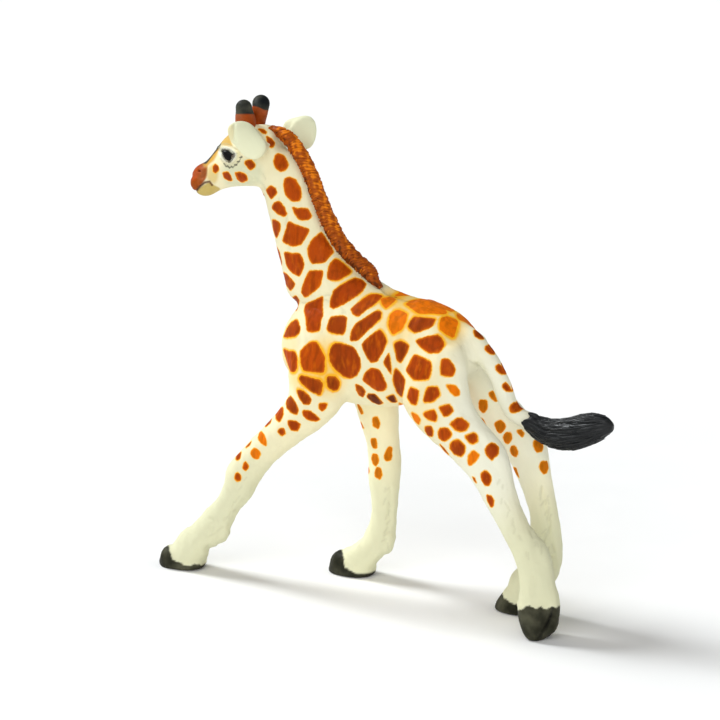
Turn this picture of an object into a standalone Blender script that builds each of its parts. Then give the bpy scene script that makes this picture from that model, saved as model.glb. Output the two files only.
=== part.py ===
"""Toy giraffe calf: a small soft-plastic figure in a wide running stance.

The figure faces -Y with its left side at +X and stands on the floor at z = 0. Every piece is a
loft: a row of stations in side view, each a ring with its own place, lean, depth and width. The
places and thicknesses in the tables are shares, chosen by hand, of the named sizes of their piece.
"""
from math import cos, radians, sin, tau

import bmesh
import bpy
import numpy as np
from mathutils import Matrix, Vector

# Fits between pieces
CLEARANCE = 0.0003
OVERRUN = 0.0020

# Trunk
WITHERS_HEIGHT = 0.0592
TRUNK_LENGTH = 0.0434
TRUNK_DEPTH = 0.0232
TRUNK_WIDTH = 0.0160

# Neck and mane
NECK_RUN = 0.0165
NECK_RISE = 0.0275
NECK_DEPTH = 0.0160
NECK_WIDTH = 0.0108
MANE_DEPTH = 0.0029
MANE_WIDTH = 0.0030

# Head
HEAD_LENGTH = 0.0220
HEAD_DEPTH = 0.0115
HEAD_WIDTH = 0.0094
HEAD_PITCH = radians(22.8)
MOUTH_GAP = 0.0005
NOSTRIL_WIDTH = 0.0010
NOSTRIL_LENGTH = 0.0018
EYE_LENGTH = 0.0034
EYE_HEIGHT = 0.0026
EYE_THICKNESS = 0.0024

# Ears and ossicones
EAR_LENGTH = 0.0090
EAR_WIDTH = 0.0060
EAR_THICKNESS = 0.0014
EAR_DISH = 0.0007
OSSICONE_LENGTH = 0.0047
OSSICONE_WIDTH = 0.0030
OSSICONE_TIP_WIDTH = 0.0033
OSSICONE_TIP_SINK = 0.0011

# Legs and hooves
LEG_DEPTH = 0.0140
LEG_WIDTH = 0.0080
LEG_SPREAD = 0.0070
FORE_LEFT_STRIDE = -0.0320
FORE_RIGHT_STRIDE = 0.0080
HIND_LEFT_STRIDE = 0.0230
HIND_RIGHT_STRIDE = 0.0170
HOOF_LENGTH = 0.0092
HOOF_WIDTH = 0.0064
CLEFT_WIDTH = 0.0008

# Tail
TAIL_RUN = 0.0149
TAIL_DROP = 0.0146
TAIL_WIDTH = 0.0036
TUFT_LENGTH = 0.0177
TUFT_DEPTH = 0.0066
TUFT_WIDTH = 0.0054

# How square the rings are: 2 is an ellipse, more is fuller at its corners
TRUNK_SQUARENESS = 2.2
HEAD_SQUARENESS = 2.1
LEG_SQUARENESS = 2.1
HOOF_SQUARENESS = 2.3

# Mesh counts
TRUNK_SIDES = 32
NECK_SIDES = 26
HEAD_SIDES = 28
LEG_SIDES = 20
HOOF_SIDES = 24
SMALL_SIDES = 16
STEPS = 2
MANE_STEPS = 4

# Each station: along (to the rear), drop from the withers, lean of the ring in degrees (90 is
# upright), depth, width. Lengths are shares of TRUNK_LENGTH, TRUNK_DEPTH and TRUNK_WIDTH.
TRUNK_SHARES = (
    (0.02, 0.58, 90, 0.21, 0.28),
    (0.055, 0.565, 88, 0.46, 0.61),
    (0.12, 0.55, 87, 0.70, 0.82),
    (0.20, 0.52, 89, 0.83, 0.95),
    (0.32, 0.505, 90, 0.92, 0.99),
    (0.47, 0.49, 91, 0.975, 1.00),
    (0.59, 0.49, 91, 0.915, 0.97),
    (0.71, 0.455, 93, 0.805, 0.93),
    (0.815, 0.445, 94, 0.66, 0.89),
    (0.885, 0.455, 93, 0.50, 0.80),
    (0.94, 0.475, 95, 0.31, 0.60),
    (0.97, 0.485, 93, 0.14, 0.28),
)

# Where the neck, the legs and the tail leave the trunk: along and drop as trunk shares
NECK_ROOT_SHARES = (0.31, 0.18)
FORE_LEFT_ROOT_SHARE = 0.253
FORE_RIGHT_ROOT_SHARE = 0.369
HIND_ROOT_SHARE = 0.829
TAIL_ROOT_SHARES = (0.87, 0.27)

# Neck stations: forward, up, lean, depth, width, as shares of NECK_RUN, NECK_RISE, NECK_DEPTH
# and NECK_WIDTH. The first two are the plug in the trunk, the last two the plug in the head.
NECK_SHARES = (
    (-0.02, 0.00, 162, 0.94, 0.85),
    (0.03, 0.07, 166, 1.22, 1.00),
    (0.22, 0.13, 163, 1.10, 0.98),
    (0.355, 0.22, 160, 0.93, 0.91),
    (0.47, 0.33, 160, 0.80, 0.83),
    (0.58, 0.47, 158, 0.73, 0.78),
    (0.67, 0.61, 160, 0.68, 0.74),
    (0.75, 0.74, 158, 0.65, 0.72),
    (0.84, 0.86, 155, 0.63, 0.72),
    (0.93, 0.95, 153, 0.48, 0.50),
    (0.97, 0.99, 153, 0.34, 0.36),
)

# Mane stations on the back line of the neck: forward and up as neck shares, lean, depth, width
# as shares of MANE_DEPTH and MANE_WIDTH
MANE_SHARES = (
    (-0.53, 0.13, 120, 0.40, 0.60),
    (-0.43, 0.18, 133, 0.70, 0.90),
    (-0.30, 0.26, 135, 0.95, 1.00),
    (-0.10, 0.34, 138, 1.00, 1.00),
    (0.08, 0.44, 148, 1.00, 1.00),
    (0.22, 0.57, 155, 1.00, 1.00),
    (0.34, 0.71, 157, 0.98, 0.95),
    (0.45, 0.86, 155, 0.96, 0.90),
    (0.59, 1.00, 148, 0.96, 0.90),
    (0.74, 1.10, 140, 0.92, 0.85),
    (0.865, 1.155, 122, 0.82, 0.80),
    (0.99, 1.185, 108, 0.60, 0.55),
)

# Every other ring of the mane is this much lower, because the hair stands in clumps
MANE_NOTCH_SHARE = 0.86

# Head stations from the poll to the lips, in the head's own frame: forward, up, lean, depth,
# width, as shares of HEAD_LENGTH, HEAD_DEPTH, HEAD_DEPTH and HEAD_WIDTH
HEAD_SHARES = (
    (-0.03, 0.20, 100, 0.48, 0.55),
    (0.07, 0.125, 96, 0.78, 0.85),
    (0.20, 0.075, 92, 1.05, 0.98),
    (0.335, 0.12, 90, 0.975, 1.00),
    (0.455, 0.125, 90, 0.86, 0.91),
    (0.59, 0.09, 88, 0.67, 0.72),
    (0.735, 0.04, 88, 0.53, 0.60),
    (0.845, 0.02, 88, 0.54, 0.60),
    (0.92, -0.01, 86, 0.38, 0.50),
    (0.965, -0.045, 86, 0.12, 0.28),
)
HEAD_ROOT_SHARES = (0.88, 1.00)

# Leg stations: along (to the rear, as a share of the leg's stride), up (share of
# WITHERS_HEIGHT), lean, depth, aside and width (shares of LEG_DEPTH, LEG_SPREAD and LEG_WIDTH).
# The first station is the plug in the trunk, the last meets the hoof.
FORE_LEFT_SHARES = (
    (0.00, 0.855, -6, 0.68, 0.61, 0.62),
    (0.00, 0.79, -3, 0.93, 0.70, 0.85),
    (-0.01, 0.72, -1, 0.92, 0.80, 0.95),
    (0.00, 0.64, 3, 0.82, 0.89, 0.90),
    (0.09, 0.575, 9, 0.72, 0.93, 0.88),
    (0.205, 0.52, 20, 0.55, 0.97, 0.80),
    (0.32, 0.465, 24, 0.49, 0.99, 0.73),
    (0.42, 0.41, 30, 0.46, 0.99, 0.69),
    (0.51, 0.35, 31, 0.49, 0.99, 0.73),
    (0.55, 0.293, 25, 0.42, 0.98, 0.68),
    (0.62, 0.24, 27, 0.365, 0.97, 0.58),
    (0.69, 0.19, 28, 0.44, 0.96, 0.60),
    (0.765, 0.140, 28, 0.49, 0.94, 0.68),
    (0.855, 0.098, 22, 0.52, 0.93, 0.72),
    (0.925, 0.047, 17, 0.53, 0.92, 0.75),
)
FORE_RIGHT_SHARES = (
    (-0.08, 0.855, 0, 0.68, 0.61, 0.62),
    (-0.10, 0.785, 0, 0.88, 0.70, 0.85),
    (-0.03, 0.70, 0, 0.86, 0.80, 0.90),
    (0.03, 0.615, 1, 0.70, 0.89, 0.85),
    (0.11, 0.535, 1, 0.56, 0.94, 0.78),
    (0.19, 0.463, 2, 0.46, 0.99, 0.73),
    (0.25, 0.404, 2, 0.455, 1.00, 0.74),
    (0.23, 0.35, 0, 0.45, 1.00, 0.71),
    (0.24, 0.29, 1, 0.395, 1.00, 0.61),
    (0.23, 0.226, 4, 0.36, 1.00, 0.56),
    (0.17, 0.17, 14, 0.39, 1.00, 0.60),
    (0.02, 0.121, 19, 0.47, 1.00, 0.68),
    (-0.22, 0.088, 24, 0.50, 1.01, 0.72),
    (-0.52, 0.050, 20, 0.53, 1.03, 0.75),
)
HIND_LEFT_SHARES = (
    (0.00, 0.855, -10, 0.70, 0.68, 0.62),
    (0.00, 0.81, -11, 0.93, 0.72, 0.88),
    (0.00, 0.757, -12, 1.00, 0.77, 1.02),
    (0.04, 0.695, -15, 0.98, 0.83, 0.98),
    (0.16, 0.636, -18, 0.89, 0.88, 0.90),
    (0.32, 0.59, -21, 0.81, 0.92, 0.83),
    (0.475, 0.543, -23, 0.73, 0.95, 0.76),
    (0.58, 0.49, -20, 0.59, 0.98, 0.70),
    (0.645, 0.44, -18, 0.49, 1.01, 0.65),
    (0.735, 0.382, -18, 0.42, 1.04, 0.63),
    (0.83, 0.329, -15, 0.42, 1.06, 0.63),
    (0.94, 0.274, -16, 0.465, 1.07, 0.68),
    (1.00, 0.217, -13, 0.47, 1.08, 0.70),
    (1.02, 0.163, -9, 0.46, 1.09, 0.73),
    (1.015, 0.114, -3, 0.48, 1.09, 0.75),
)
HIND_RIGHT_SHARES = (
    (0.01, 0.855, -11, 0.64, 0.68, 0.60),
    (0.01, 0.81, -13, 0.80, 0.72, 0.84),
    (0.03, 0.75, -15, 0.80, 0.79, 0.94),
    (0.18, 0.68, -18, 0.74, 0.84, 0.90),
    (0.42, 0.63, -20, 0.69, 0.87, 0.83),
    (0.61, 0.58, -20, 0.65, 0.86, 0.75),
    (0.78, 0.523, -19, 0.60, 0.84, 0.70),
    (0.885, 0.457, -16, 0.49, 0.80, 0.65),
    (0.97, 0.395, -11, 0.42, 0.74, 0.63),
    (1.045, 0.335, -6, 0.39, 0.69, 0.60),
    (1.095, 0.274, 2, 0.42, 0.62, 0.63),
    (1.105, 0.209, 5, 0.48, 0.56, 0.68),
    (1.045, 0.15, 12, 0.53, 0.56, 0.71),
    (0.925, 0.104, 18, 0.55, 0.55, 0.73),
    (0.865, 0.058, 18, 0.54, 0.56, 0.75),
)

# Hoof stations below the coronet: how far the ring has moved from the coronet's centre to the
# sole's centre, how far it has dropped to the floor, and its depth and width as shares of
# HOOF_LENGTH and HOOF_WIDTH. The coronet itself is taken from the leg's last ring.
FLAT_HOOF_SHARES = (
    (0.28, 0.30, 0.93, 1.00),
    (0.62, 0.62, 0.98, 1.04),
    (0.88, 0.88, 1.00, 1.04),
    (1.00, 1.00, 0.96, 0.98),
)
TIPTOE_HOOF_SHARES = (
    (0.20, 0.25, 0.74, 1.00),
    (0.48, 0.55, 0.68, 1.02),
    (0.80, 0.85, 0.50, 0.96),
    (1.00, 1.00, 0.34, 0.84),
)
FLAT_SOLE_SHIFT_SHARE = -0.18
TIPTOE_SOLE_SHIFT_SHARE = 0.06
CLEFT_DEPTH_SHARE = 0.42
CORONET_SHARE = 1.04

# Tail stations: along, drop, lean, depth, width; TAIL_RUN, TAIL_DROP, TAIL_WIDTH, TAIL_WIDTH
TAIL_SHARES = (
    (-0.05, -0.06, 118, 0.70, 0.70),
    (0.18, 0.02, 123, 0.85, 0.92),
    (0.345, 0.18, 134, 0.96, 1.05),
    (0.515, 0.385, 148, 0.97, 1.00),
    (0.64, 0.59, 155, 0.95, 0.95),
    (0.725, 0.80, 146, 0.92, 0.92),
    (0.82, 0.94, 120, 0.88, 0.88),
    (1.00, 1.00, 95, 0.84, 0.84),
    (1.12, 1.01, 90, 0.60, 0.60),
)

# Tuft stations from the tail's end: along, rise, lean, depth, width; TUFT_LENGTH, TUFT_DEPTH,
# TUFT_DEPTH and TUFT_WIDTH
TUFT_SHARES = (
    (0.00, 0.00, 88, 0.47, 0.66),
    (0.12, -0.15, 86, 0.60, 0.82),
    (0.28, -0.26, 88, 0.72, 0.94),
    (0.46, -0.23, 90, 0.88, 1.00),
    (0.63, -0.10, 92, 0.96, 0.96),
    (0.79, 0.04, 94, 0.84, 0.80),
    (0.92, 0.14, 92, 0.56, 0.56),
    (1.00, 0.16, 90, 0.22, 0.22),
)

# Ear stations from the plug in the head to the tip: bend, out, thickness, width
EAR_SHARES = (
    (0.00, 0.00, 1.10, 0.38),
    (0.00, 0.15, 1.15, 0.46),
    (0.02, 0.30, 1.05, 0.72),
    (0.04, 0.50, 0.95, 0.98),
    (0.03, 0.68, 0.85, 1.00),
    (0.00, 0.84, 0.75, 0.80),
    (-0.03, 0.95, 0.60, 0.48),
    (-0.04, 1.00, 0.40, 0.20),
)

# Ossicone stations from the plug in the head to the plug in the tip
OSSICONE_SHARES = (
    (0.00, 0.76),
    (0.30, 0.96),
    (0.60, 1.00),
    (0.82, 0.92),
    (1.00, 0.72),
)

# Places on the head: aside, forward and up as shares of HEAD_WIDTH, HEAD_LENGTH and HEAD_DEPTH
EYE_PLACE_SHARES = (0.40, 0.39, 0.26)
EAR_PLACE_SHARES = (0.33, 0.01, 0.12)
OSSICONE_PLACE_SHARES = (0.19, 0.20, 0.47)
NOSTRIL_PLACE_SHARES = (0.20, 0.88, 0.12)
MOUTH_PLACE_SHARES = (0.00, 0.80, -0.07)

# Directions that the ears and ossicones point in, as shares of one step: aside, forward, up
EAR_LEFT_WAY_SHARES = (0.70, 0.46, 0.52)
EAR_RIGHT_WAY_SHARES = (0.90, -0.24, 0.36)
OSSICONE_WAY_SHARES = (0.21, -0.40, 0.89)

# An ellipse's squareness
ELLIPSE = 2

# Columns of a row of stations
Y, Z, LEAN, DEPTH, X, WIDTH = range(6)


def clear_scene():
    for item in list(bpy.data.objects):
        bpy.data.objects.remove(item, do_unlink=True)


def finish(name, colour, roughness):
    material = bpy.data.materials.new(name)
    material.use_nodes = True
    shader = material.node_tree.nodes["Principled BSDF"]
    shader.inputs["Base Color"].default_value = (*colour, 1)
    shader.inputs["Roughness"].default_value = roughness
    material.diffuse_color = (*colour, 1)
    return material


def curve_through(stations, steps):
    """Rows between the stations, on a Catmull-Rom curve through all six columns."""
    rows = np.array(stations, float)
    padded = np.vstack([2 * rows[0] - rows[1], rows, 2 * rows[-1] - rows[-2]])
    result = []
    for index in range(len(rows) - 1):
        before, start, end, after = padded[index:index + 4]
        for step in range(steps):
            t = step / steps
            result.append(0.5 * (2 * start + (end - before) * t
                                 + (2 * before - 5 * start + 4 * end - after) * t ** 2
                                 + (3 * start - before - 3 * end + after) * t ** 3))
    result.append(rows[-1])
    return np.array(result)


def grown(rows, by):
    """The same rows, thicker all round and longer at both ends."""
    rows = rows.copy()
    rows[:, DEPTH] += 2 * by
    rows[:, WIDTH] += 2 * by
    for end, inner in ((0, 1), (-1, -2)):
        step = rows[end, [Y, Z, X]] - rows[inner, [Y, Z, X]]
        rows[end, [Y, Z, X]] += step / np.linalg.norm(step) * by
    return rows


def ring_points(row, sides, squareness, bow):
    """One ring: its width runs along X and its depth along the lean."""
    lean = radians(row[LEAN])
    forward = Vector((0, -cos(lean), sin(lean)))
    centre = Vector((row[X], row[Y], row[Z]))
    power = ELLIPSE / squareness
    points = []
    for index in range(sides):
        angle = tau * index / sides
        across = np.sign(sin(angle)) * abs(sin(angle)) ** power
        out = np.sign(cos(angle)) * abs(cos(angle)) ** power
        reach = row[DEPTH] / 2 * out + bow * across ** 2
        points.append(centre + forward * reach + Vector((row[WIDTH] / 2 * across, 0, 0)))
    return points


def loft_mesh(name, rows, sides, squareness=ELLIPSE, bow=0, place=Matrix.Identity(4)):
    """A closed skin over the rings of the rows, with a flat cap at each end."""
    shape = bmesh.new()
    rings = []
    for row in rows:
        corners = ring_points(row, sides, squareness, bow)
        rings.append([shape.verts.new(place @ corner) for corner in corners])
    for ring, following in zip(rings, rings[1:]):
        for index in range(sides):
            beside = (index + 1) % sides
            shape.faces.new((ring[index], ring[beside], following[beside], following[index]))
    shape.faces.new(rings[0])
    shape.faces.new(rings[-1])
    bmesh.ops.recalc_face_normals(shape, faces=shape.faces)
    if shape.calc_volume(signed=True) < 0:
        bmesh.ops.reverse_faces(shape, faces=shape.faces)
    mesh = bpy.data.meshes.new(name)
    shape.to_mesh(mesh)
    shape.free()
    mesh.shade_smooth()
    return mesh


def piece(name, mesh, material):
    item = bpy.data.objects.new(name, mesh)
    bpy.context.scene.collection.objects.link(item)
    item.data.materials.append(material)
    item.parent = figure
    return item


def cutter(name, mesh):
    item = bpy.data.objects.new(name, mesh)
    bpy.context.scene.collection.objects.link(item)
    item.hide_render = True
    item.display_type = "WIRE"
    item.parent = figure
    return item


def cut(target, tool):
    boolean = target.modifiers.new("cut by " + tool.name, "BOOLEAN")
    boolean.operation = "DIFFERENCE"
    boolean.solver = "EXACT"
    boolean.object = tool


def block_mesh(name, centre, size, place=Matrix.Identity(4)):
    shape = bmesh.new()
    where = place @ Matrix.Translation(centre) @ Matrix.Diagonal((*size, 1))
    bmesh.ops.create_cube(shape, size=1, matrix=where)
    mesh = bpy.data.meshes.new(name)
    shape.to_mesh(mesh)
    shape.free()
    return mesh


def ball_mesh(name, centre, size, place=Matrix.Identity(4)):
    shape = bmesh.new()
    where = place @ Matrix.Translation(centre) @ Matrix.Diagonal((*size, 1))
    bmesh.ops.create_uvsphere(shape, u_segments=SMALL_SIDES, v_segments=SMALL_SIDES // 2,
                              radius=1 / 2, matrix=where)
    mesh = bpy.data.meshes.new(name)
    shape.to_mesh(mesh)
    shape.free()
    mesh.shade_smooth()
    return mesh


def pointing(base, way):
    """A frame at base whose Z runs along way and whose -Y side looks forward."""
    upward = Vector(way).normalized()
    across = Vector((0, 1, 0)).cross(upward).normalized()
    back = upward.cross(across)
    turn = Matrix((across, back, upward)).transposed().to_4x4()
    return Matrix.Translation(base) @ turn


def trunk_rows():
    rows = [(along * TRUNK_LENGTH, WITHERS_HEIGHT - drop * TRUNK_DEPTH, lean,
             depth * TRUNK_DEPTH, 0, width * TRUNK_WIDTH)
            for along, drop, lean, depth, width in TRUNK_SHARES]
    return curve_through(rows, STEPS)


def neck_place(forward, up):
    along, drop = NECK_ROOT_SHARES
    return (along * TRUNK_LENGTH - forward * NECK_RUN,
            WITHERS_HEIGHT - drop * TRUNK_DEPTH + up * NECK_RISE)


def neck_rows():
    rows = [(*neck_place(forward, up), lean, depth * NECK_DEPTH, 0, width * NECK_WIDTH)
            for forward, up, lean, depth, width in NECK_SHARES]
    return curve_through(rows, STEPS)


def mane_rows():
    rows = [(*neck_place(forward, up), lean, depth * MANE_DEPTH, 0, width * MANE_WIDTH)
            for forward, up, lean, depth, width in MANE_SHARES]
    rows = curve_through(rows, MANE_STEPS)
    rows[1:-1:2, DEPTH] *= MANE_NOTCH_SHARE
    return rows


def leg_rows(stations, root_share, stride, side):
    root = root_share * TRUNK_LENGTH
    rows = [(root + along * stride, up * WITHERS_HEIGHT, lean, depth * LEG_DEPTH,
             side * aside * LEG_SPREAD, width * LEG_WIDTH)
            for along, up, lean, depth, aside, width in stations]
    return curve_through(rows, STEPS)


def hoof_rows(leg, stations, shift_share):
    """From just below the leg's last ring down to a flat sole on the floor."""
    step = leg[-1, [Y, Z]] - leg[-2, [Y, Z]]
    step /= np.linalg.norm(step)
    start = leg[-1].copy()
    start[[Y, Z]] += step * CLEARANCE
    start[DEPTH] *= CORONET_SHARE
    start[WIDTH] *= CORONET_SHARE
    shift = shift_share * HOOF_LENGTH
    rows = [start]
    for moved, dropped, depth, width in stations:
        rows.append((start[Y] + moved * shift, start[Z] * (1 - dropped),
                     start[LEAN] * (1 - dropped), depth * HOOF_LENGTH, start[X],
                     width * HOOF_WIDTH))
    return curve_through(rows, STEPS)


def tail_rows():
    along, drop = TAIL_ROOT_SHARES
    root_y = along * TRUNK_LENGTH
    root_z = WITHERS_HEIGHT - drop * TRUNK_DEPTH
    rows = [(root_y + run * TAIL_RUN, root_z - fall * TAIL_DROP, lean, depth * TAIL_WIDTH, 0,
             width * TAIL_WIDTH)
            for run, fall, lean, depth, width in TAIL_SHARES]
    return curve_through(rows, STEPS)


def tuft_rows():
    along, drop = TAIL_ROOT_SHARES
    root_y = along * TRUNK_LENGTH + TAIL_RUN
    root_z = WITHERS_HEIGHT - drop * TRUNK_DEPTH - TAIL_DROP
    rows = [(root_y + run * TUFT_LENGTH, root_z + rise * TUFT_DEPTH, lean,
             depth * TUFT_DEPTH, 0, width * TUFT_WIDTH)
            for run, rise, lean, depth, width in TUFT_SHARES]
    return curve_through(rows, STEPS)


def head_rows():
    rows = [(-forward * HEAD_LENGTH, up * HEAD_DEPTH, lean, depth * HEAD_DEPTH, 0,
             width * HEAD_WIDTH)
            for forward, up, lean, depth, width in HEAD_SHARES]
    return curve_through(rows, STEPS)


def on_head(shares, side):
    aside, forward, up = shares
    return Vector((side * aside * HEAD_WIDTH, -forward * HEAD_LENGTH, up * HEAD_DEPTH))


def ear_rows(by):
    rows = [(bend * EAR_LENGTH, out * EAR_LENGTH, 0, thickness * EAR_THICKNESS, 0,
             width * EAR_WIDTH)
            for bend, out, thickness, width in EAR_SHARES]
    rows = curve_through(rows, STEPS)
    return grown(rows, by) if by else rows


def ossicone_rows(by):
    rows = [(0, out * OSSICONE_LENGTH, 0, width * OSSICONE_WIDTH, 0, width * OSSICONE_WIDTH)
            for out, width in OSSICONE_SHARES]
    rows = curve_through(rows, 1)
    return grown(rows, by) if by else rows


def build_trunk_and_neck(cream, brown):
    trunk = piece("trunk", loft_mesh("trunk", trunk_rows(), TRUNK_SIDES, TRUNK_SQUARENESS), cream)
    neck = piece("neck", loft_mesh("neck", neck_rows(), NECK_SIDES), cream)
    mane = piece("mane", loft_mesh("mane", mane_rows(), SMALL_SIDES), brown)
    neck_cut = cutter("neck socket", loft_mesh("neck socket", grown(neck_rows(), CLEARANCE),
                                               NECK_SIDES))
    mane_cut = cutter("mane groove", loft_mesh("mane groove", grown(mane_rows(), CLEARANCE),
                                               SMALL_SIDES))
    cut(trunk, neck_cut)
    cut(trunk, mane_cut)
    cut(neck, mane_cut)
    return trunk, neck_cut, mane_cut


def build_leg(name, hoof_name, trunk, leg, hoof, cream, dark, tiptoe):
    piece(name, loft_mesh(name, leg, LEG_SIDES, LEG_SQUARENESS), cream)
    socket = cutter(name + " socket", loft_mesh(name + " socket", grown(leg, CLEARANCE),
                                                LEG_SIDES, LEG_SQUARENESS))
    cut(trunk, socket)
    claw = piece(hoof_name, loft_mesh(hoof_name, hoof, HOOF_SIDES, HOOF_SQUARENESS), dark)
    sole = hoof[-1]
    coronet = hoof[0]
    depth = CLEFT_DEPTH_SHARE * HOOF_LENGTH
    if tiptoe:
        size = Vector((CLEFT_WIDTH, HOOF_LENGTH + OVERRUN, coronet[Z] + OVERRUN))
        centre = Vector((sole[X], sole[Y], -size.z / 2 + CLEFT_DEPTH_SHARE * coronet[Z]))
    else:
        size = Vector((CLEFT_WIDTH, depth + OVERRUN, coronet[Z] + OVERRUN + OVERRUN))
        toe = sole[Y] - HOOF_LENGTH / 2
        centre = Vector((sole[X], toe + depth - size.y / 2, coronet[Z] / 2))
    cleft = cutter(hoof_name + " cleft", block_mesh(hoof_name + " cleft", centre, size))
    cut(claw, cleft)


def build_legs(trunk, cream, dark):
    for fore, side_name, side, stations, stride, root in (
        (True, "left", 1, FORE_LEFT_SHARES, FORE_LEFT_STRIDE, FORE_LEFT_ROOT_SHARE),
        (True, "right", -1, FORE_RIGHT_SHARES, FORE_RIGHT_STRIDE, FORE_RIGHT_ROOT_SHARE),
        (False, "left", 1, HIND_LEFT_SHARES, HIND_LEFT_STRIDE, HIND_ROOT_SHARE),
        (False, "right", -1, HIND_RIGHT_SHARES, HIND_RIGHT_STRIDE, HIND_ROOT_SHARE),
    ):
        name = ("foreleg_" if fore else "hind_leg_") + side_name
        hoof_name = ("hoof_fore_" if fore else "hoof_hind_") + side_name
        tiptoe = name == "hind_leg_left"
        leg = leg_rows(stations, root, stride, side)
        if tiptoe:
            hoof = hoof_rows(leg, TIPTOE_HOOF_SHARES, TIPTOE_SOLE_SHIFT_SHARE)
        else:
            hoof = hoof_rows(leg, FLAT_HOOF_SHARES, FLAT_SOLE_SHIFT_SHARE)
        build_leg(name, hoof_name, trunk, leg, hoof, cream, dark, tiptoe)


def build_tail(trunk, cream, black):
    piece("tail", loft_mesh("tail", tail_rows(), SMALL_SIDES), cream)
    socket = cutter("tail socket", loft_mesh("tail socket", grown(tail_rows(), CLEARANCE),
                                             SMALL_SIDES))
    tuft = piece("tail_tuft", loft_mesh("tail_tuft", tuft_rows(), SMALL_SIDES), black)
    cut(trunk, socket)
    cut(tuft, socket)


def build_head(neck_cut, mane_cut, cream, rust, black):
    y, z = neck_place(*HEAD_ROOT_SHARES)
    place = Matrix.Translation((0, y, z)) @ Matrix.Rotation(HEAD_PITCH, 4, "X")
    skull = loft_mesh("head", head_rows(), HEAD_SIDES, HEAD_SQUARENESS, place=place)
    head = piece("head", skull, cream)
    cut(head, neck_cut)
    cut(head, mane_cut)
    for side_name, side, ear_way in (("left", 1, EAR_LEFT_WAY_SHARES),
                                     ("right", -1, EAR_RIGHT_WAY_SHARES)):
        build_ear(head, "ear_" + side_name, side, place, ear_way, cream)
        build_ossicone(head, side_name, side, place, rust, black)
        build_eye(head, "eye_" + side_name, side, place, black)
        nostril = ball_mesh("nostril " + side_name, on_head(NOSTRIL_PLACE_SHARES, side),
                            (NOSTRIL_WIDTH, NOSTRIL_LENGTH, NOSTRIL_WIDTH), place)
        cut(head, cutter("nostril " + side_name, nostril))
    slit_length = (1 - MOUTH_PLACE_SHARES[1]) * HEAD_LENGTH + OVERRUN
    slit_centre = on_head(MOUTH_PLACE_SHARES, 1) - Vector((0, slit_length / 2, 0))
    slit = block_mesh("mouth", slit_centre, (HEAD_WIDTH, slit_length, MOUTH_GAP), place)
    cut(head, cutter("mouth", slit))


def build_ear(head, name, side, head_place, way_shares, cream):
    aside, forward, up = way_shares
    base = head_place @ on_head(EAR_PLACE_SHARES, side)
    place = pointing(base, (side * aside, -forward, up))
    piece(name, loft_mesh(name, ear_rows(0), SMALL_SIDES, bow=EAR_DISH, place=place), cream)
    hollow = loft_mesh(name + " socket", ear_rows(CLEARANCE), SMALL_SIDES, bow=EAR_DISH,
                       place=place)
    cut(head, cutter(name + " socket", hollow))


def build_ossicone(head, side_name, side, head_place, rust, black):
    name = "ossicone_" + side_name
    aside, forward, up = OSSICONE_WAY_SHARES
    base = head_place @ on_head(OSSICONE_PLACE_SHARES, side)
    place = pointing(base, head_place.to_3x3() @ Vector((side * aside, -forward, up)))
    piece(name, loft_mesh(name, ossicone_rows(0), SMALL_SIDES, place=place), rust)
    socket = cutter(name + " socket", loft_mesh(name + " socket", ossicone_rows(CLEARANCE),
                                                SMALL_SIDES, place=place))
    cut(head, socket)
    centre = (0, 0, OSSICONE_LENGTH - OSSICONE_TIP_SINK + OSSICONE_TIP_WIDTH / 2)
    ball = ball_mesh("ossicone_tip_" + side_name, centre, (OSSICONE_TIP_WIDTH,) * 3, place)
    tip = piece("ossicone_tip_" + side_name, ball, black)
    cut(tip, socket)


def build_eye(head, name, side, head_place, black):
    centre = on_head(EYE_PLACE_SHARES, side)
    size = Vector((EYE_THICKNESS, EYE_LENGTH, EYE_HEIGHT))
    piece(name, ball_mesh(name, centre, size, head_place), black)
    gap = Vector((CLEARANCE, CLEARANCE, CLEARANCE)) * 2
    cut(head, cutter(name + " socket", ball_mesh(name + " socket", centre, size + gap,
                                                 head_place)))


def centre_on_floor():
    """Moves the whole figure so that its box is centred over the origin."""
    graph = bpy.context.evaluated_depsgraph_get()
    corners = []
    for item in bpy.data.objects:
        if item.type == "MESH" and not item.hide_render:
            mesh = item.evaluated_get(graph).data
            corners += [item.matrix_world @ vertex.co for vertex in mesh.vertices]
    corners = np.array(corners)
    low, high = corners.min(axis=0), corners.max(axis=0)
    figure.location = (-(low[0] + high[0]) / 2, -(low[1] + high[1]) / 2, -low[2])


clear_scene()
figure = bpy.data.objects.new("giraffe_calf", None)
bpy.context.scene.collection.objects.link(figure)
cream_paint = finish("cream_paint", (0.80, 0.74, 0.56), 0.50)
brown_paint = finish("mane_brown_paint", (0.24, 0.07, 0.02), 0.55)
rust_paint = finish("rust_paint", (0.42, 0.10, 0.02), 0.50)
dark_paint = finish("charcoal_paint", (0.03, 0.03, 0.035), 0.45)
hoof_paint = finish("hoof_paint", (0.08, 0.08, 0.06), 0.45)
trunk_piece, neck_socket, mane_groove = build_trunk_and_neck(cream_paint, brown_paint)
build_legs(trunk_piece, cream_paint, hoof_paint)
build_tail(trunk_piece, cream_paint, dark_paint)
build_head(neck_socket, mane_groove, cream_paint, rust_paint, dark_paint)
bpy.context.view_layer.update()
centre_on_floor()
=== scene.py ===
import math

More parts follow.
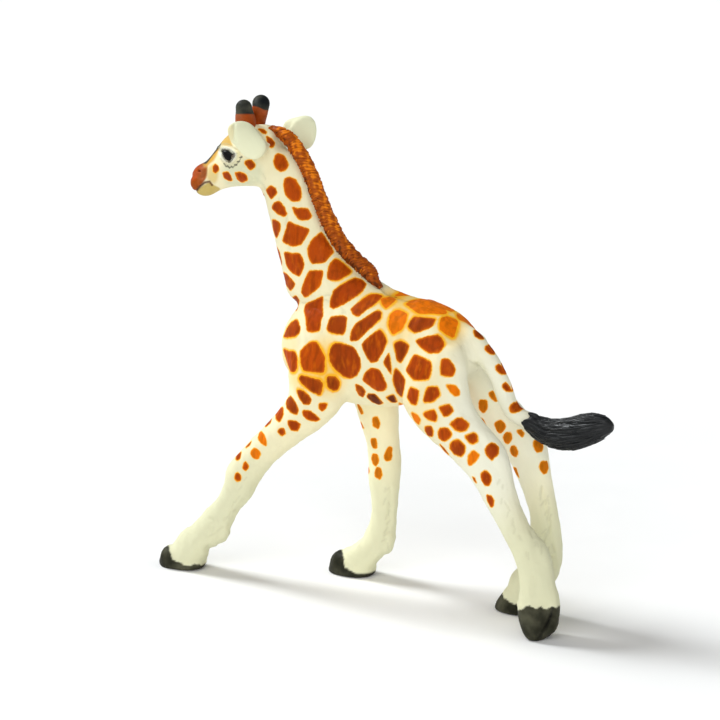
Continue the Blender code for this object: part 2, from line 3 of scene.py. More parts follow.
import bpy
import numpy as np
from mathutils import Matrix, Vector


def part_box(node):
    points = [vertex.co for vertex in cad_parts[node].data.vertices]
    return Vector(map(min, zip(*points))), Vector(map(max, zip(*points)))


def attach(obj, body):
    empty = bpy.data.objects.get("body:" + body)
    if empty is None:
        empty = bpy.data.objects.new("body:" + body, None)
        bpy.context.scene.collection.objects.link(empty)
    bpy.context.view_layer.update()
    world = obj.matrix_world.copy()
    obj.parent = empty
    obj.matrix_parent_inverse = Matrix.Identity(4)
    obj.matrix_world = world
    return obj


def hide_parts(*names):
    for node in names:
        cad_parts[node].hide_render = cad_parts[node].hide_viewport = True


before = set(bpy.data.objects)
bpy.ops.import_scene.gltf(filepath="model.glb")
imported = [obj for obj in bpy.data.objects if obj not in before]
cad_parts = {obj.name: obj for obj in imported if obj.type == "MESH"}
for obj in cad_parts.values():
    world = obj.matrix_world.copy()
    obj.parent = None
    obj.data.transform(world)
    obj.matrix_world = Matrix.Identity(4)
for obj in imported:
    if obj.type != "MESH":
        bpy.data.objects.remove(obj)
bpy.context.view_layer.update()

import openvdb as vdb
from mathutils import Vector

mm = 0.001  # this script works in millimetres and writes meshes in metres
midPlane = 0.389  # world x of the calf's plane of symmetry

# Camera, at the photograph's viewing angle
camera = {
    "azimuth": 122.0, "elevation": 14.0, "distance": 620.0, "pixelsPerMm": 5.3,
    "frameWidth": 720, "sensor": 36.0, "target": (-2.391, -7.762, 44.0), "clip": (0.01, 40.0),
}


def axesOf(cam):  # the camera's right, up and back, in world space
    az, el = math.radians(cam["azimuth"]), math.radians(cam["elevation"])
    back = np.array([math.sin(az) * math.cos(el), -math.cos(az) * math.cos(el), math.sin(el)])
    right = np.cross((0, 0, 1), back)
    right /= np.linalg.norm(right)
    return right, np.cross(back, right), back


camRight, camUp, camBack = axesOf(camera)
camEye = np.array(camera["target"]) + camBack * camera["distance"]
focalPixels = camera["pixelsPerMm"] * camera["distance"]


def toPixels(points):  # photograph pixels of world points in mm
    rel = points - camEye
    scale = focalPixels / -(rel @ camBack)
    centre = camera["frameWidth"] / 2
    return np.stack([centre + scale * (rel @ camRight), centre - scale * (rel @ camUp)], axis=1)


def atPixel(pixel, near):  # the place in mm that shows at a pixel, as far away as a known place
    across, down = (np.array(pixel) - camera["frameWidth"] / 2) / focalPixels
    ray = camRight * across - camUp * down - camBack
    return camEye + ray * ((camEye - np.array(near)) @ camBack)


def makeCamera():
    data = bpy.data.cameras.new("photo_camera")
    data.sensor_width = camera["sensor"]
    data.lens = focalPixels / camera["frameWidth"] * camera["sensor"]
    data.clip_start, data.clip_end = camera["clip"]
    obj = bpy.data.objects.new("photo_camera", data)
    bpy.context.scene.collection.objects.link(obj)
    obj.location = Vector(camEye) * mm
    obj.rotation_euler = Vector(camBack).to_track_quat("Z", "Y").to_euler()
    bpy.context.scene.camera = obj


makeCamera()
print("stage: camera")

# Clay: the CAD solids as distance fields, which are joined softly into one moulding
coatNodes = ["trunk", "neck", "head", "foreleg_left", "foreleg_right", "hind_leg_left",
             "hind_leg_right", "tail"]
legNodes = ["foreleg_left", "foreleg_right", "hind_leg_left", "hind_leg_right"]
hoofNodes = ["hoof_fore_left", "hoof_fore_right", "hoof_hind_left", "hoof_hind_right"]
crownNodes = ["ear_left", "ear_right", "ossicone_left", "ossicone_right",
              "ossicone_tip_left", "ossicone_tip_right"]
eyeNodes = ["eye_left", "eye_right"]
clay = {  # widths, blends and growths in mm
    "band": 10, "margin": 2.6, "fleshBlend": 1.6, "fleshBlur": 0.62, "hoofBlend": 1.3, "hoofBlur": 0.2,
    "crownBlend": 0.55, "lobeBlend": 1.3, "earBlur": 0.22, "maneInset": 0.4, "lastBlur": 0.16,
    "grow": {"ossicone_left": 0.45, "ossicone_right": -0.1, "ossicone_tip_right": 0.1},
    "bodyVoxel": 0.25, "bodyMargin": 1.5, "neckTop": 84.0,  # the body's box ends above the cut
    "headVoxel": 0.16, "headBox": ((-13, -50, 70), (13, -13, 95)),
}
lobes = [  # rounder parts: a node, a pixel, a place about as far away, and reach right, up and back in mm
    ("ear_left", (254.0, 147.5), (6.4, -25.6, 84.4), (2.2, 2.2, 1.0)),
    ("ear_right", (302.0, 133.0), (-7.4, -22.9, 85.4), (2.7, 2.9, 0.8)),
    ("ear_right", (301.0, 129.5), (-6.9, -23.2, 86.0), (2.4, 1.9, 0.7)),
    ("ossicone_right", (260.2, 111.0), (-3.0, -25.4, 88.6), (1.4, 1.5, 1.2)),
    ("hoof_fore_left", (168.0, 556.0), (7.0, -44.0, 2.6), (1.3, 1.75, 2.4)),
    ("hoof_fore_right", (338.5, 561.0), (-6.8, -14.0, 2.6), (1.35, 1.7, 2.4)),
    ("hoof_hind_left", (551.5, 617.0), (9.4, 37.1, 4.2), (1.35, 2.9, 1.9)),
    ("hind_leg_left", (552.5, 601.0), (8.6, 38.4, 7.6), (1.15, 2.4, 1.9)),
]
allNodes = coatNodes + hoofNodes + crownNodes + eyeNodes


def makeSpace(low, high, voxel):
    start = np.floor(np.array(low) / voxel).astype(int)
    count = np.ceil(np.array(high) / voxel).astype(int) - start + 1
    return {"voxel": voxel, "start": tuple(int(i) for i in start), "count": tuple(int(i) for i in count)}


def nodeMesh(node):  # merged points in mm, and triangles, of a copy of a CAD node
    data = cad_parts[node].data
    points = np.zeros(len(data.vertices) * 3, np.float32)
    data.vertices.foreach_get("co", points)
    data.calc_loop_triangles()
    corners = np.zeros(len(data.loop_triangles) * 3, np.int32)
    data.loop_triangles.foreach_get("vertices", corners)
    merged, place = np.unique(np.round(points.reshape(-1, 3) / mm, 4), axis=0, return_inverse=True)
    return merged.astype(np.float32), place.ravel()[corners].reshape(-1, 3).astype(np.uint32)


def windowOf(node, space):  # the part of a space that a node reaches, or None
    low, high = boxOf([node], clay["margin"])
    start, count = np.array(space["start"]), np.array(space["count"])
    first = np.maximum(np.floor(low / space["voxel"]).astype(int) - start, 0)
    last = np.minimum(np.ceil(high / space["voxel"]).astype(int) - start + 1, count)
    return tuple(slice(int(i), int(j)) for i, j in zip(first, last)) if np.all(last > first) else None


def nodeField(node, space, window):  # distance to a CAD node's surface in mm, below 0 inside
    points, triangles = nodeMesh(node)
    grid = vdb.FloatGrid.createLevelSetFromPolygons(
        points, triangles=triangles, transform=vdb.createLinearTransform(voxelSize=space["voxel"]),
        halfWidth=clay["band"])
    field = np.zeros([part.stop - part.start for part in window], np.float32)
    grid.copyToArray(field, ijk=tuple(first + part.start for first, part in zip(space["start"], window)))
    return field


def lobeField(pixel, near, radii, space, window):
    grids = [(np.arange(part.start, part.stop) + first) * space["voxel"]
             for part, first in zip(window, space["start"])]
    places = np.stack(np.meshgrid(*grids, indexing="ij"), axis=-1) - atPixel(pixel, near)
    spans = [(places @ axis) / reach for axis, reach in zip((camRight, camUp, camBack), radii)]
    return ((np.sqrt(sum(span * span for span in spans)) - 1) * min(radii)).astype(np.float32)


def unite(a, b, blend):
    meet = np.maximum(blend - np.abs(a - b), 0) / blend
    return np.minimum(a, b) - meet * meet * (blend / 4)


def blur(field, width, space):  # width in mm
    sigma = width / space["voxel"]
    reach = max(1, int(math.ceil(2.6 * sigma)))
    weights = np.exp(-0.5 * (np.arange(-reach, reach + 1) / sigma) ** 2).astype(np.float32)
    weights /= weights.sum()
    for axis in range(3):
        margins = [(reach, reach) if a == axis else (0, 0) for a in range(3)]
        wide = np.pad(field, margins, mode="edge")
        total = np.zeros_like(field)
        for i, weight in enumerate(weights):
            part = [slice(None)] * 3
            part[axis] = slice(i, i + field.shape[axis])
            total += weight * wide[tuple(part)]
        field = total
    return field


def soften(field, width, space):  # a blur that keeps thin limbs as thick as they are
    once = blur(field, width, space)
    return 2 * once - blur(once, width, space)


def sculpt(space):  # the whole moulding in one box, and which node each place belongs to
    far = clay["band"] * space["voxel"]
    flesh = np.full(space["count"], far, np.float32)
    nearest = flesh.copy()
    label = np.zeros(space["count"], np.uint8)

    def join(node, blend, blurWidth=0.0, grow=0.0, lobe=None):
        window = windowOf(node, space)
        if window is None:
            return
        field = lobeField(*lobe, space, window) if lobe else nodeField(node, space, window)
        if node in allNodes:
            nearer = field < nearest[window]
            label[window][nearer] = allNodes.index(node)
            nearest[window] = np.minimum(nearest[window], field)
        if blurWidth:
            field = blur(field, blurWidth, space)
        flesh[window] = unite(flesh[window], field - grow, blend)

    for node in coatNodes:
        join(node, clay["fleshBlend"])
    for node in eyeNodes:
        join(node, clay["crownBlend"])
    join("mane", clay["crownBlend"], grow=-clay["maneInset"])
    flesh = soften(flesh, clay["fleshBlur"], space)
    for node in hoofNodes:
        join(node, clay["hoofBlend"], clay["hoofBlur"])
    for node in crownNodes:
        join(node, clay["crownBlend"], clay["earBlur"], clay["grow"].get(node, 0))
    for node, *lobe in lobes:
        join(node, clay["lobeBlend"], lobe=lobe)
    return blur(flesh, clay["lastBlur"], space), label


def surfaceOf(field, space, level=0.0):  # points in mm and quads, facing out
    grid = vdb.FloatGrid(float(field.max()))
    grid.copyFromArray(field, ijk=space["start"])
    grid.transform = vdb.createLinearTransform(voxelSize=space["voxel"])
    points, quads = grid.convertToQuads(isovalue=level)
    points, quads = points.astype(float), quads.astype(int)
    a, b, c, d = (points[quads[:, i]] for i in range(4))
    volume = np.einsum("ij,ij->i", a, np.cross(b, c)).sum() + np.einsum("ij,ij->i", a, np.cross(c, d)).sum()
    return points, quads if volume > 0 else quads[:, ::-1]


def labelsAt(points, label, space):
    places = np.round(points / space["voxel"]).astype(int) - np.array(space["start"])
    places = np.clip(places, 0, np.array(space["count"]) - 1)
    return label[places[:, 0], places[:, 1], places[:, 2]]


def boxOf(nodes, margin):
    corners = np.array([[tuple(c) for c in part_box(n)] for n in nodes]) / mm
    return corners[:, 0].min(axis=0) - margin, corners[:, 1].max(axis=0) + margin


def pointNormals(points, faces):
    a, b, c, d = (points[faces[:, i]] for i in range(4))
    facing = np.cross(c - a, d - b)
    total = np.zeros_like(points)
    for i in range(4):
        for axis in range(3):
            total[:, axis] += np.bincount(faces[:, i], facing[:, axis], len(points))
    return total / np.maximum(np.linalg.norm(total, axis=1, keepdims=True), 1e-12)


bodyLow, bodyHigh = boxOf(allNodes, clay["bodyMargin"])
bodySpace = makeSpace(bodyLow, (bodyHigh[0], bodyHigh[1], clay["neckTop"]), clay["bodyVoxel"])
bodyField, bodyLabel = sculpt(bodySpace)
bodyPoints, bodyQuads = surfaceOf(bodyField, bodySpace)
print("stage: body clay", len(bodyPoints), len(bodyQuads))

neckCut = {"place": (0.0, -22.26, 76.5), "normal": (0.0, -0.476, 0.88), "edgeReach": 1}  # head above it


def trim(points, faces, keepAbove):  # keeps the faces on one side, and lays their edge on the plane
    normal = np.array(neckCut["normal"]) / np.linalg.norm(neckCut["normal"])
    height = (points - np.array(neckCut["place"])) @ normal
    kept = faces[(height >= 0 if keepAbove else height <= 0)[faces].all(axis=1)]
    edge = edgePoints(kept)
    edge = edge[np.abs(height[edge]) < neckCut["edgeReach"]]
    points = points.copy()
    points[edge] -= height[edge][:, None] * normal
    return compact(points, kept)


def compact(points, faces):
    used, places = np.unique(faces, return_inverse=True)
    return points[used], places.reshape(faces.shape)


def openEdges(faces):  # directed edges that only one face has
    sides = faces.shape[1]
    edges = np.concatenate([faces[:, [i, (i + 1) % sides]] for i in range(sides)])
    keys = np.sort(edges, axis=1)
    keys = keys[:, 0].astype(np.int64) * (int(faces.max()) + 1) + keys[:, 1]
    _, first, counts = np.unique(keys, return_index=True, return_counts=True)
    return edges[first[counts == 1]]


def edgePoints(faces):
    return np.unique(openEdges(faces))


headSpace = makeSpace(*clay["headBox"], clay["headVoxel"])
headField, headLabel = sculpt(headSpace)
bodyPoints, bodyQuads = trim(bodyPoints, bodyQuads, keepAbove=False)
headPoints, headQuads = trim(*surfaceOf(headField, headSpace), keepAbove=True)
print("stage: head clay", len(headPoints), len(headQuads))

# Outlines of the painted patches, in photograph pixels, chosen on the left side
headPatches = {
    "cheekFront": [(215, 164), (218.5, 166), (219, 170), (215.5, 173.5), (213, 171.5), (212.5, 166.5)],
    "jawFront": [(222.5, 172.5), (228, 171.5), (231, 176.5), (232, 180.5), (229, 181), (224, 178)],
    "jawMid": [(235, 172.5), (241, 172), (246.5, 175), (247.5, 180), (242, 183), (237, 179)],
    "jawBack": [(245.5, 160.5), (251.5, 160), (255.5, 164.5), (254, 168), (250, 170), (244.5, 164)],
    "crownSmall": [(258, 128.5), (263.5, 129), (266.5, 132), (265.5, 134), (261.5, 132.5)],
    "crownBack": [(266.5, 136), (272, 139), (275, 143), (273, 147), (270, 147.5), (267, 142)],
}
neckPatches = {
    "nape1": [(278.5, 153.5), (284, 155.5), (288.5, 164), (286.5, 169), (281, 172), (275.5, 168),
        (273.5, 162.5), (275, 155.5)],
    "nape2": [(289.5, 177), (295.5, 179.5), (300, 187), (301.5, 195), (300, 201), (292, 201.5),
        (285.5, 195), (283.5, 185), (285, 178.5)],
    "throat1": [(271, 185.5), (276, 188.5), (277, 193), (271, 200), (265.5, 190)],
    "throatSliver": [(260, 190), (264, 194.5), (263.5, 196.5), (260, 195)],
    "throat2": [(279, 201), (284, 206.5), (287, 213.5), (285, 216.5), (278, 214.5), (271.5, 208),
        (274, 203)],
    "nape3": [(292, 207), (297.5, 208.5), (307.5, 208), (312, 216), (308.5, 220), (299.5, 220),
        (295.5, 215)],
    "throat3": [(272, 218.5), (280, 222.5), (280.5, 229), (276.5, 239), (273, 230)],
    "neckMid1": [(288, 221), (297.5, 225.5), (309.5, 229), (306.5, 236), (301, 245), (292.5, 246.5),
        (283, 242), (282.5, 240), (286, 230)],
    "maneSide1": [(321.5, 231.5), (326.5, 239.5), (334, 251.5), (330.5, 255.5), (324.5, 262.5),
        (312, 264), (308.5, 257), (307.5, 248.5), (312, 239.5)],
    "throatSliver2": [(275.5, 245), (279.5, 251.5), (282, 262), (281.5, 266), (277, 258)],
    "neckMid2": [(283.5, 251.5), (291.5, 253.5), (300.5, 253.5), (304.5, 264), (301.5, 273),
        (299, 276.5), (291.5, 272.5), (286.5, 266)],
    "maneSide2": [(335.5, 258), (344, 263.5), (352.5, 272), (341.5, 279), (335.5, 281), (327.5, 279),
        (327.5, 273), (329.5, 264)],
    "throat4": [(282.5, 272), (287, 274), (295.5, 284), (290.5, 291.5), (285.5, 284)],
    "neckLow1": [(309, 270.5), (322.5, 270.5), (323, 274), (320.5, 285.5), (313, 292.5), (305, 298),
        (301, 292.5), (304, 282)],
    "shoulderTop": [(355, 277.5), (362, 279.5), (366.5, 284.5), (363, 290.5), (356, 296.5), (345, 303.5),
        (333.5, 309), (330, 306.5), (330, 301.5), (333.5, 290.5), (341.5, 284.5)],
    "neckFrontLow": [(292.5, 297.5), (296, 295.5), (299.5, 300), (298.5, 305.5), (296.5, 311.5),
        (294, 303)],
}
trunkPatches = {
    "withersBand": [(371.5, 294), (377.5, 294), (383.5, 296), (375.5, 303.5), (366, 310), (358, 317),
        (353, 314), (350.5, 309.5), (357, 303.5), (365, 297.5)],
    "withersOrange": [(380, 298.5), (391, 296.5), (396.5, 299.5), (391, 304.5), (386, 309), (382.5, 305)],
    "chestTall": [(323, 296), (322.5, 305.5), (323, 316), (321, 319), (320, 330), (316, 332), (307, 332),
        (305.5, 316), (304, 311), (305.5, 304), (314, 300.5)],
    "chestSquare": [(330, 317), (341.5, 315.5), (347, 317), (346, 327), (344, 335), (331, 333),
        (326.5, 329.5)],
    "ribBand": [(377, 310), (381.5, 312), (381, 318), (372, 327), (365, 333), (358, 340.5), (351.5, 341),
        (350, 339.5), (351.5, 330), (356.5, 323), (368, 316)],
    "flankTop": [(394.5, 310.5), (400.5, 310), (407.5, 314), (406, 321.5), (401.5, 330), (392.5, 335),
        (388, 326), (390, 315)],
    "breastTop": [(297.5, 319), (300.5, 328.5), (299.5, 333), (294.5, 337), (285, 337.5), (283.5, 336.5),
        (287.5, 327), (291.5, 322)],
    "shoulder1": [(311, 341.5), (317, 342), (322, 351.5), (325, 356.5), (324.5, 373), (317, 372.5),
        (303.5, 371), (300.5, 364), (300, 351.5), (304.5, 346.5)],
    "shoulder2": [(335, 343), (341.5, 343.5), (353.5, 346.5), (360, 358), (361, 367), (356.5, 376),
        (350.5, 378.5), (344.5, 377), (335.5, 370), (330, 362), (329, 354.5), (331, 346.5)],
    "ribDiamond": [(380, 329), (385, 335.5), (387, 341.5), (383.5, 350.5), (377, 362), (370.5, 362.5),
        (366, 355.5), (361.5, 344.5), (368, 337.5)],
    "breastFront": [(283, 348.5), (288.5, 351), (295.5, 351.5), (297.5, 360), (297, 368), (295.5, 372),
        (290.5, 372), (287, 362)],
    "elbow1": [(300.5, 375), (309, 377), (320, 380), (323, 383.5), (322, 390.5), (320, 395.5),
        (311, 391.5), (303.5, 385.5), (298.5, 379)],
    "elbow2": [(327, 376.5), (335.5, 376), (340, 382), (338.5, 389.5), (333.5, 391), (327.5, 387.5),
        (326.5, 381)],
    "bellySide": [(371, 368), (378, 369), (382, 374), (387, 385.5), (384.5, 390.5), (378, 391.5),
        (369, 385.5), (362.5, 380), (365, 373)],
    "bellySmall": [(355.5, 384), (362, 386.5), (366, 391.5), (363, 397.5), (359, 395.5), (356.5, 390.5)],
    "bellyDark": [(368, 393.5), (375, 394), (380, 399.5), (383.5, 403), (379, 405), (372, 402),
        (366.5, 397)],
    "flankSliver": [(389, 352), (390.5, 362), (391.5, 375), (387.5, 369), (383, 363)],
    "saddle": [(405.5, 304), (415.5, 297), (427, 297), (436, 300), (444, 306.5), (447.5, 313.5),
        (441, 314.5), (431, 313.5), (419.5, 314), (415.5, 311.5), (407.5, 305.5)],
    "rump1": [(414, 316.5), (428.5, 318), (436, 318.5), (432.5, 326.5), (423.5, 330.5), (414.5, 333),
        (407.5, 327), (410.5, 320.5)],
    "ridgeFar": [(393, 295), (404, 296), (415, 297), (426, 299.4), (425, 301.4), (413, 299.2),
        (402, 298.2), (394, 297.4)],
    "rumpRidge": [(440, 302.6), (448, 306), (456, 311.6), (464, 317.4), (471.5, 325), (467, 323.4),
        (456, 315.6), (447, 309.4)],
    "rumpOrange": [(441.5, 317.5), (447.5, 316), (458.5, 320.5), (456.5, 329.5), (453.5, 338.5),
        (444, 333), (439.5, 329), (439.5, 322.5)],
}
haunchPatches = {
    "haunch1": [(415, 340.5), (427, 336.5), (437.5, 334.5), (441.5, 337.5), (445, 344), (441.5, 350.5),
        (438.5, 353), (428, 353), (420, 346.5)],
    "flankDrop": [(401.5, 340.5), (409.5, 345.5), (406, 354.5), (400.5, 363), (397, 361), (393.5, 343)],
    "haunch2": [(414.5, 354), (431, 361.5), (431.5, 370), (429, 379.5), (414, 380.5), (405.5, 370.5),
        (410, 362)],
    "haunchRear": [(441.5, 359), (448.5, 358.5), (453.5, 365), (455.5, 370), (453, 376.5), (441, 375.5),
        (440.5, 367)],
    "flankLow": [(395, 367), (400.5, 373), (405.5, 380), (403.5, 390.5), (402, 397.5), (397, 393),
        (392.5, 380)],
    "bellyFlankDark": [(393.5, 394), (397.5, 402.5), (391.5, 402.5), (385.5, 397.5)],
    "thigh1": [(410.5, 387), (419, 390.5), (418, 398.5), (416, 405), (411, 403.5), (407, 397.5),
        (408.5, 391.5)],
    "thigh2": [(428, 387), (437.5, 386.5), (440.5, 394.5), (433.5, 401.5), (424, 402.5), (423.5, 400.5),
        (425.5, 391.5)],
    "thighRear": [(446, 385), (455, 385.5), (459, 390), (459.5, 395), (455, 396), (450.5, 391.5)],
    "thigh3": [(423.5, 412.5), (434.5, 409.5), (437, 416), (436, 422), (429, 420), (424, 416)],
    "thigh4": [(438.5, 407), (449.5, 404), (454, 411.5), (444.5, 417.5)],
    "frontSliver1": [(398.5, 402.5), (402.5, 404.5), (406.5, 412), (407, 416.5), (402.5, 411)],
    "thighFront": [(411, 412.5), (417, 414.5), (420.5, 420), (418.5, 424.5), (414, 420)],
    "gaskin1": [(457.5, 418), (461.5, 418), (469, 424), (466.5, 430), (461.5, 431.5), (455.5, 430),
        (449.5, 424)],
    "gaskin2": [(440, 428), (448, 428), (452, 434.5), (449, 438.5), (443.5, 441.5), (438.5, 438),
        (438, 432)],
    "gaskinFront": [(425.5, 426.5), (431, 426), (433.5, 431), (432.5, 436.5), (428, 436), (425, 431)],
    "gaskin3": [(464.5, 436), (474, 432.5), (477.5, 436.5), (477.5, 441.5), (472, 444), (468.5, 441.5)],
    "gaskin4": [(452.5, 441), (458.5, 439.5), (465, 446), (464.5, 452.5), (461, 457), (454, 454),
        (450, 449), (450, 444.5)],
    "gaskin5": [(473, 450.5), (479.5, 455), (475.5, 461.5), (470, 465.5), (468, 464), (468.5, 456)],
    "hockRear": [(492, 442.5), (498.5, 446), (498.5, 454), (494.5, 457.5), (492, 460.5), (488, 457),
        (485, 451.5), (486.5, 446)],
    "frontSliver2": [(439, 443.5), (445, 449), (449, 455), (444.5, 451.5)],
    "hock1": [(480.5, 474), (485.5, 470), (490.5, 474.5), (491.5, 480), (489, 485.5), (485.5, 486),
        (481.5, 480)],
    "frontSliver3": [(472, 476.5), (475, 478), (476.5, 483), (474, 481)],
    "hock2": [(486.5, 494.5), (491.5, 496), (494, 500.5), (493, 506.5), (490.5, 507), (487, 500.5)],
}
tailPatches = {
    "tail1": [(473, 330), (477, 330), (485, 338.5), (481, 339.5), (475, 336.5)],
    "tail2": [(485.5, 346), (488.5, 345.5), (495.5, 354.5), (490.5, 354), (485, 350)],
    "tail3": [(495.5, 366), (499.5, 364), (504.5, 369), (506, 374), (501.5, 374.5), (496, 370)],
    "tail4": [(502.5, 385.5), (505.5, 382), (509.5, 386.5), (512, 391.5), (506.5, 391.5), (502.5, 387.5)],
    "tail5": [(510, 406.5), (513.5, 402.5), (519, 403), (523, 409), (517, 412.5), (511, 412.5),
        (509, 409)],
}
hindRightPatches = {
    "innerTop": [(480, 400), (487, 400.5), (487.5, 407.5), (483.5, 413), (479.5, 409.5), (479, 404)],
    "innerTail": [(489, 393), (493, 390.5), (497, 401.5), (494, 400.5), (490, 396.5)],
    "innerSliver1": [(465, 388.5), (467, 390), (468, 394.5), (467.5, 400), (466, 397)],
    "innerSliver2": [(472.5, 415), (477, 420.5), (478, 422), (474, 418.5)],
    "innerFront": [(480.5, 418), (483.5, 420), (487, 427.5), (487.5, 430), (483.5, 426.5), (480.5, 421)],
    "innerMid1": [(495, 423), (500.5, 420), (505, 424), (505.5, 427.5), (501, 433.5), (497, 431),
        (494.5, 424.5)],
    "innerMid2": [(506, 432.5), (510.5, 432.5), (512, 438), (508.5, 444), (505, 442.5), (503, 437)],
    "innerMid3": [(511.5, 446), (515, 446), (518, 451.5), (516, 457), (512, 455), (510, 450)],
    "innerRear1": [(517, 430.5), (521, 429.5), (524, 433.5), (522.5, 437), (518.5, 434)],
    "innerRear2": [(534, 440.5), (540, 440.5), (543.5, 446), (541.5, 451.5), (536.5, 452), (533.5, 446)],
    "innerRear3": [(540.5, 462), (547, 461), (548.5, 468.5), (546, 473), (543.5, 474), (539.5, 468.5)],
    "innerSliver3": [(513, 467.5), (516, 467.5), (519.5, 478.5), (515.5, 473)],
}
foreLeftPatches = {
    "arm1": [(297, 389), (303.5, 391), (309.5, 396), (311.5, 400), (309, 405), (303, 404), (298, 396)],
    "arm2": [(290.5, 395.5), (295.5, 402), (298.5, 410), (297, 415), (291.5, 413), (286.5, 408),
        (286, 400.5)],
    "armRear": [(319, 403.5), (328, 403.5), (326, 408), (322.5, 411.5), (319, 408.5)],
    "arm3": [(302.5, 410.5), (310, 410.5), (315, 414.5), (320.5, 419.5), (315.5, 421.5), (307, 419.5),
        (303, 415)],
    "armFront": [(283, 406.5), (283.5, 414), (280, 422.5), (276, 419.5), (275.5, 413.5), (278, 409.5)],
    "arm4": [(288, 420), (295.5, 421), (300.5, 424), (299, 428.5), (297.5, 431), (291.5, 430.5),
        (288, 425)],
    "arm5": [(280, 428), (284, 428.5), (285.5, 433.5), (282, 436), (277.5, 432)],
    "armSliver1": [(272, 418), (270.5, 423), (266, 427), (265, 426), (268, 421.5)],
    "foreArm1": [(261, 431), (264.5, 435.5), (266.5, 441.5), (266, 446), (261, 443), (258, 438),
        (259, 433.5)],
    "armSliver2": [(252, 440.5), (249.5, 445.5), (246, 448), (245.5, 447)],
    "foreArm2": [(254.5, 448), (259, 450.5), (260.5, 454), (258, 459), (253.5, 458.5), (250.5, 453.5),
        (251.5, 450)],
    "foreArmFront": [(241.5, 451.5), (240.5, 458), (237.5, 460.5), (235.5, 459), (236.5, 455)],
    "foreArm3": [(245.5, 461), (249, 467), (246, 470.5), (242.5, 469), (243.5, 464)],
    "foreArm4": [(238.5, 472.5), (241, 476), (240.5, 480.5), (237.5, 481.5), (234.5, 478.5),
        (235.5, 474)],
}
foreRightPatches = {
    "farArm1": [(372.5, 418), (377, 416.5), (380, 422.5), (378.5, 429), (373, 426)],
    "farArm2": [(371.5, 438.5), (376, 438.5), (377, 448.5), (373.5, 448), (371, 443.5)],
    "farArm3": [(372.5, 454), (377, 454), (379, 461), (376, 466.5), (373, 464), (371.5, 458.5)],
    "farArmRear": [(389, 446.5), (392, 448), (391.5, 459.5), (387.5, 461), (384, 458.5), (385.5, 452.5)],
    "farArm4": [(377, 467), (380.5, 468), (382, 475.5), (379.5, 479.5), (375, 476.5), (375, 471.5)],
    "farSliver1": [(357, 403), (361, 407.5), (363.5, 413.5), (361.5, 414.5), (358.5, 409)],
    "farSliver2": [(360.5, 421), (364, 428.5), (362, 427.5)],
    "farSliver3": [(368.5, 466.5), (369.5, 471.5), (368.5, 474)],
}
patchPaints = {  # a patch that none of these names is rust, or ochre on the right legs
    "dark": ("bellyDark", "bellyFlankDark", "throatSliver"),
    "orange": ("flankTop", "rumpOrange", "saddle", "withersOrange", "thighRear", "thighFront", "frontSliver1",
               "gaskin5", "foreArm1", "foreArm2"),
    "amber": ("maneSide1", "maneSide2", "nape1", "nape2", "nape3", "neckMid1", "neckLow1", "shoulder1",
              "withersBand", "haunchRear", "thigh3", "thigh4", "gaskin1", "gaskin2", "gaskin3", "foreArm3",
              "foreArm4"),
}
paints = {
    "cream": (0.87, 0.80, 0.53), "lid": (0.88, 0.88, 0.74), "lowerShade": (0.70, 0.70, 0.48),
    "shade": (0.52, 0.50, 0.34), "ear": (0.82, 0.83, 0.58), "honey": (0.92, 0.58, 0.10),
    "halo": (0.95, 0.47, 0.02), "rust": (0.43, 0.054, 0.001), "brown": (0.30, 0.044, 0.002),
    "orange": (0.84, 0.185, 0.002), "amber": (0.46, 0.064, 0.001), "dark": (0.13, 0.022, 0.004),
    "ochre": (0.62, 0.17, 0.003), "stem": (0.32, 0.052, 0.004), "snout": (0.37, 0.074, 0.002),
    "snoutDark": (0.22, 0.040, 0.006), "mouth": (0.10, 0.026, 0.008), "gold": (0.66, 0.36, 0.06),
    "tan": (0.76, 0.60, 0.26), "lip": (0.56, 0.42, 0.12), "brow": (0.66, 0.42, 0.10),
    "charcoal": (0.009, 0.0115, 0.013), "hoof": (0.020, 0.020, 0.012), "pupilAndCleftShade": (0.006, 0.006, 0.007),
}
paints = {name: np.array(colour) for name, colour in paints.items()}
pixelReach = 14.0  # a patch's edge is measured no further away than this
glazes = [  # a honey wash between patches: middle and reach in photograph pixels, and strength
    ((327, 366), (24, 34), 1.0), ((303, 374), (18, 22), 0.7), ((290, 345), (10, 36), 0.35),
    ((398, 300), (30, 14), 1.0), ((428, 306), (40, 17), 1.0), ((452, 324), (18, 26), 1.0),
    ((396, 326), (24, 26), 0.55), ((372, 300), (16, 10), 0.7), ((345, 270), (14, 26), 0.35),
    ((420, 395), (40, 50), 0.18), ((462, 440), (26, 30), 0.2),
]
haunchPale = ((490, 425), (58, 115), 0.8)  # a whiter zone: middle, reach and strength
patchSpread = {  # heights and widths in mm
    "right": {"from": (0.5, 4.0), "below": (72, 80), "shift": (0.9, 0.7), "size": 14},
    # the entries for the shins set the legs' painted shade: heights over which it fades, its wavy edge and
    # its strength
    "bareLegs": (36, 42), "legShade": (34, 14), "legShadeWaver": (1.5, 9), "legShadeShare": 0.9, "honeyShare": 0.75,
    # the last two entries make the far legs paler below a height: painted light that lifts their shade
    "paintedFillBelow": (38, 46), "paintedFillGain": 0.08,
}


def roundOff(outline, cuts=(0.14, 0.25)):
    points = np.array(outline, float)
    for cut in cuts:
        after = np.roll(points, -1, axis=0)
        pair = [(1 - cut) * points + cut * after, cut * points + (1 - cut) * after]
        points = np.stack(pair, axis=1).reshape(-1, 2)
    return points


